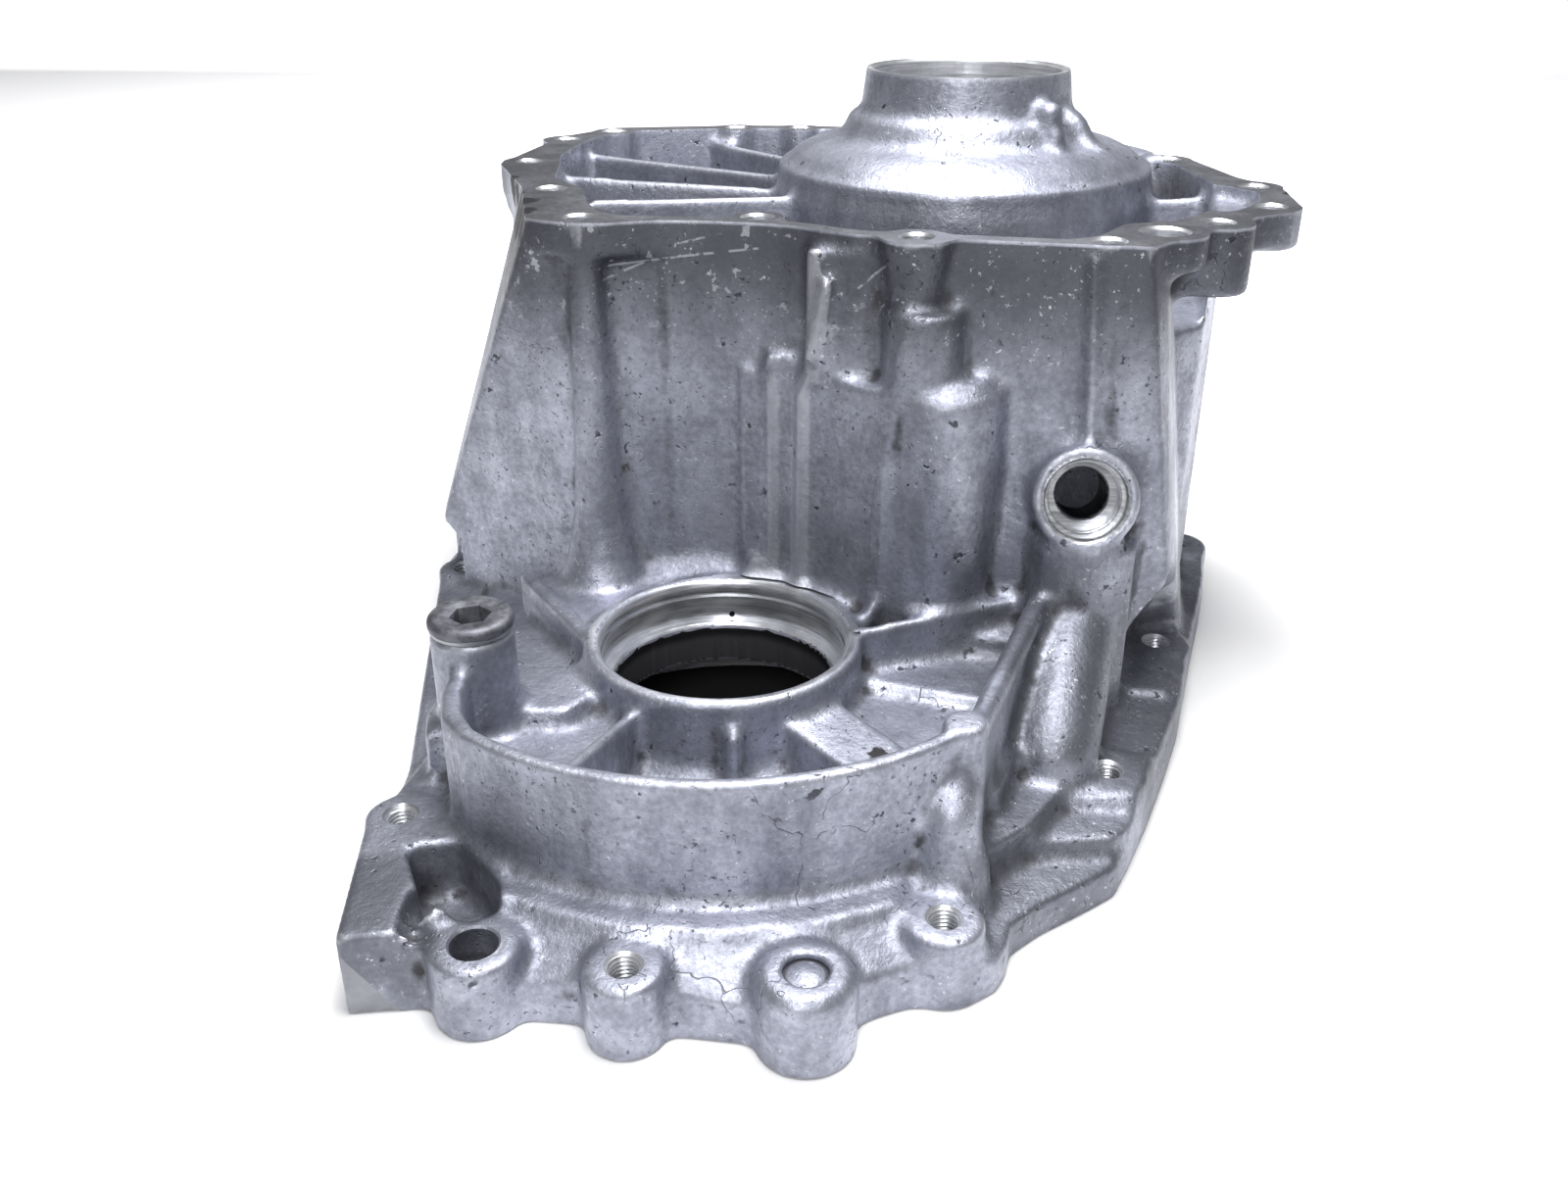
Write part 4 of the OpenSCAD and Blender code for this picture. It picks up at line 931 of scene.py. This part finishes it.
def deck_material(groups):
    """The smooth milled face of the upper flange: dark grey, with black spots and a few pale specks."""
    mat, n, shader = base_material("milled_flange")
    v = n.position()
    g = n.group(groups["grain"], Vector=v)
    black_spot = n.group(groups["black_spot_marks"], Vector=v)["Black_Spot"]
    tone = n.mix(n.span(g["Tone"], 0.38, 0.62), DECK_DARK, DECK_LIGHT)
    tone = n.mix(n.times(g["Pale"], 0.3), tone, (0.6, 0.6, 0.64))
    tone = n.mix(n.times(g["Dark"], 0.4), tone, (0.05, 0.05, 0.06))
    tone = n.mix(black_spot, tone, BLACK)
    rough = n.plus(n.span(g["Tone"], 0.35, 0.65, 0.34, 0.46), n.times(black_spot, 0.1))
    dress(n, shader, tone, rough, n.span(black_spot, 0, 1, 0.85, 0.1), n.noise(v, 1300.0, 2.0), 0.12, 0.0002)
    return mat


def machined_material(name, light, dark, rough):
    """Cut metal: an even tone and a fine grain."""
    mat, n, shader = base_material(name)
    v = n.position()
    patch = n.noise(v, 40.0, 4.0, 0.6)
    tone = n.mix(n.span(patch, 0.35, 0.65), dark, light)
    spread_rough = n.span(patch, 0.3, 0.7, rough, rough + 0.12)
    dress(n, shader, tone, spread_rough, 0.9, n.noise(v, 1500.0, 2.0), 0.25, 0.0002)
    return mat


def bore_material(groups):
    """Turned bores: bright, with lines of the tool round them, grey patches of wear from the bearing, and
    darker where little light gets in."""
    mat, n, shader = base_material("turned_bore")
    v = n.position()
    lines = n.noise(n.vector("MULTIPLY", v, (0.02, 0.02, 1)), 900.0, 3.0, 0.7)
    patch = n.noise(n.vector("MULTIPLY", v, (1, 1, 3)), 50.0, 4.0, 0.6)
    light = n.span(n.plus(n.times(lines, 0.6), n.times(patch, 0.4)), 0.38, 0.62)
    tone = n.mix(light, BORE_DARK, BORE_LIGHT)
    shade = n.span(n.attribute("sky"), 0.0, 0.12, 1, 0)
    tone = n.mix(n.times(shade, 0.35), tone, (0.06, 0.06, 0.07))
    tone = n.mix(n.group(groups["black_spot_marks"], Vector=v)["Black_Spot"], tone, BORE_BLACK_SPOT)
    dress(n, shader, tone, n.span(patch, 0.3, 0.7, 0.28, 0.40), 0.92, lines, 0.35, 0.0002)
    return mat


def throat_material():
    """The oily passages of the front bore and the sensor bore, darkened with painted shade as well as by oily
    dirt: black, and dark grey in the front bore's lower part."""
    mat, n, shader = base_material("oily_throat_painted_shade")
    v = n.position()
    z = n.drawing(v)[2]
    patch = n.noise(v, 60.0, 4.0, 0.6)
    grey = n.span(n.plus(z, n.times(patch, 3)), 34, 38, 1, 0)
    # near black and dark grey: oily dirt and painted shade
    tone = n.mix(grey, (0.006, 0.006, 0.007), (0.05, 0.05, 0.056))
    rough = n.span(patch, 0.3, 0.7, 0.42, 0.55)
    dress(n, shader, tone, rough, 0.3, n.noise(v, 800.0, 3.0), 0.3, 0.0003)
    return mat


def plug_material(groups):
    """Dull grey plug, with grain and dark patches."""
    mat, n, shader = base_material("plug_steel")
    v = n.position()
    g = n.group(groups["grain"], Vector=v)
    patch = n.noise(v, 180.0, 5.0, 0.65)
    tone = n.mix(n.span(patch, 0.3, 0.7), PLUG_DARK, PLUG_LIGHT)
    tone = n.mix(n.times(g["Dark"], 0.7), tone, DARK_SPECK)
    dress(n, shader, tone, n.span(patch, 0.3, 0.7, 0.50, 0.62), 0.8, g["Height"], 0.4, 0.0004)
    return mat


# Building
casting = cast_skin(raw_solid())
metal = MetalGrid(casting.data)
machine(lightened(casting, metal))
casting.name = casting.data.name = "cast_housing"

skin = casting.data
skin.shade_smooth()
skin.set_sharp_from_angle(angle=math.radians(38))
metal.machined()
points, normals = coords(skin), vertex_normals(skin)
store(skin, "corner", metal.read(metal.blurred(1.9), points))
store(skin, "hollow", metal.read(metal.blurred(6.5), points))
store(skin, "sky", metal.open_sky(points, normals))

groups = {
    "grain": grain_group(), "grime_and_shade": grime_and_shade_group(), "marks": mark_group(),
    "black_spot_marks": spots_group("black_spot_shapes", "Black_Spot", BLACK_SPOTS, 170.0, 3.0, 0.010, 0.2),
    "oil_and_shade": spots_group("oily_and_shaded_places", "Oil_And_Shade", OILY_AND_SHADED_SPOTS, 60.0, 4.0, 0.030, 0.4)}
skin.materials.clear()
for material in (
        cast_material(groups),
        machined_material("machined_aluminium", (0.40, 0.41, 0.44), (0.26, 0.265, 0.29), 0.5),
        deck_material(groups), bore_material(groups), throat_material()):
    skin.materials.append(material)
skin.polygons.foreach_set("material_index", finish_of_faces(skin))

threads = make_threads()
threads.data.materials.append(
    machined_material("thread_metal", (0.72, 0.73, 0.76), (0.5, 0.51, 0.54), 0.28))
plug = make_plug()
plug.data.materials.append(plug_material(groups))
washer = make_washer()
washer.data.materials.append(
    machined_material("washer_metal", (0.46, 0.47, 0.50), (0.28, 0.285, 0.31), 0.4))

stands_for = (
    (casting, "housing", "casting"), (plug, "filler_plug", "plug"), (washer, "plug_washer", "washer"))
for piece, node, slot in stands_for:
    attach(piece, "root")
    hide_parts(node)
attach(threads, "root")


# Stage, light and camera
def flat_stage(name, corners, height, colour, rough):
    """A flat sheet on the ground."""
    mesh = mesh_object(name, [(x, y, height) for x, y in corners], [list(range(len(corners)))], 35)
    mat, n, shader = base_material(name)
    n.put_all(shader, Base_Color=(*colour, 1), Roughness=rough)
    mesh.data.materials.append(mat)


HALF = 9                                    # m, half the floor's side
square = [(-HALF, -HALF), (HALF, -HALF), (HALF, HALF), (-HALF, HALF)]
flat_stage("pale_floor", square, -0.0006, (0.93, 0.93, 0.94), 0.9)
# Two dark sheets of painted shade under the casting, smaller than its hollow, so that the bores look into the
# dark
for name, x, y, r in (("front_shade_sheet", 6, -8, 88), ("rear_shade_sheet", 62, 197, 80)):
    edge = in_row(revolved([(r, 0)], 48)[0] + (x, y, 0))[:, :2]
    flat_stage(name, edge.tolist(), -0.0003, (0.012, 0.012, 0.013), 0.8)

world = bpy.data.worlds.new("studio")
world.use_nodes = True
world.node_tree.nodes["Background"].inputs["Color"].default_value = (0.97, 0.98, 1, 1)
world.node_tree.nodes["Background"].inputs["Strength"].default_value = 0.2
bpy.context.scene.world = world
bpy.context.scene.view_settings.view_transform = "Standard"


def softbox(name, at, aim, size, power):
    """A square area light that looks at a point."""
    light = bpy.data.lights.new(name, "AREA")
    light.shape, light.size, light.energy = "SQUARE", size, power
    obj = bpy.data.objects.new(name, light)
    obj.location = at
    obj.rotation_euler = (Vector(aim) - Vector(at)).to_track_quat("-Z", "Y").to_euler()
    obj.visible_camera = False
    bpy.context.scene.collection.objects.link(obj)


softbox("overhead", (0.07, -0.20, 0.95), (0.07, -0.20, 0), 0.35, 8.5)
softbox("front", (0.1, -1.0, 0.75), (0, 0, 0.1), 0.4, 5.5)
softbox("over_dome", (0.03, 0.10, 0.65), (0.03, 0.10, 0), 0.22, 2.8)
# Behind the casting and turned away from it, for the floor at the back
softbox("backdrop", (0, 0.3, 1.6), (0, 5, 0.9), 1.5, 170)
softbox("far_floor", (-2.2, 3.2, 2.4), (-3.0, 8, 0), 3, 800)

camera = bpy.data.cameras.new("camera")
camera.lens, camera.sensor_width, camera.sensor_fit = LENS, SENSOR, "HORIZONTAL"
camera.clip_start = 0.01
eye = bpy.data.objects.new("camera", camera)
up = CAMERA_RIGHT.cross(CAMERA_FORWARD).normalized()
turn = Matrix((CAMERA_RIGHT.normalized(), up, -CAMERA_FORWARD.normalized())).transposed()
eye.matrix_world = Matrix.Translation(Vector(in_row(CAMERA_AT))) @ turn.to_4x4()
bpy.context.scene.collection.objects.link(eye)
bpy.context.scene.camera = eye
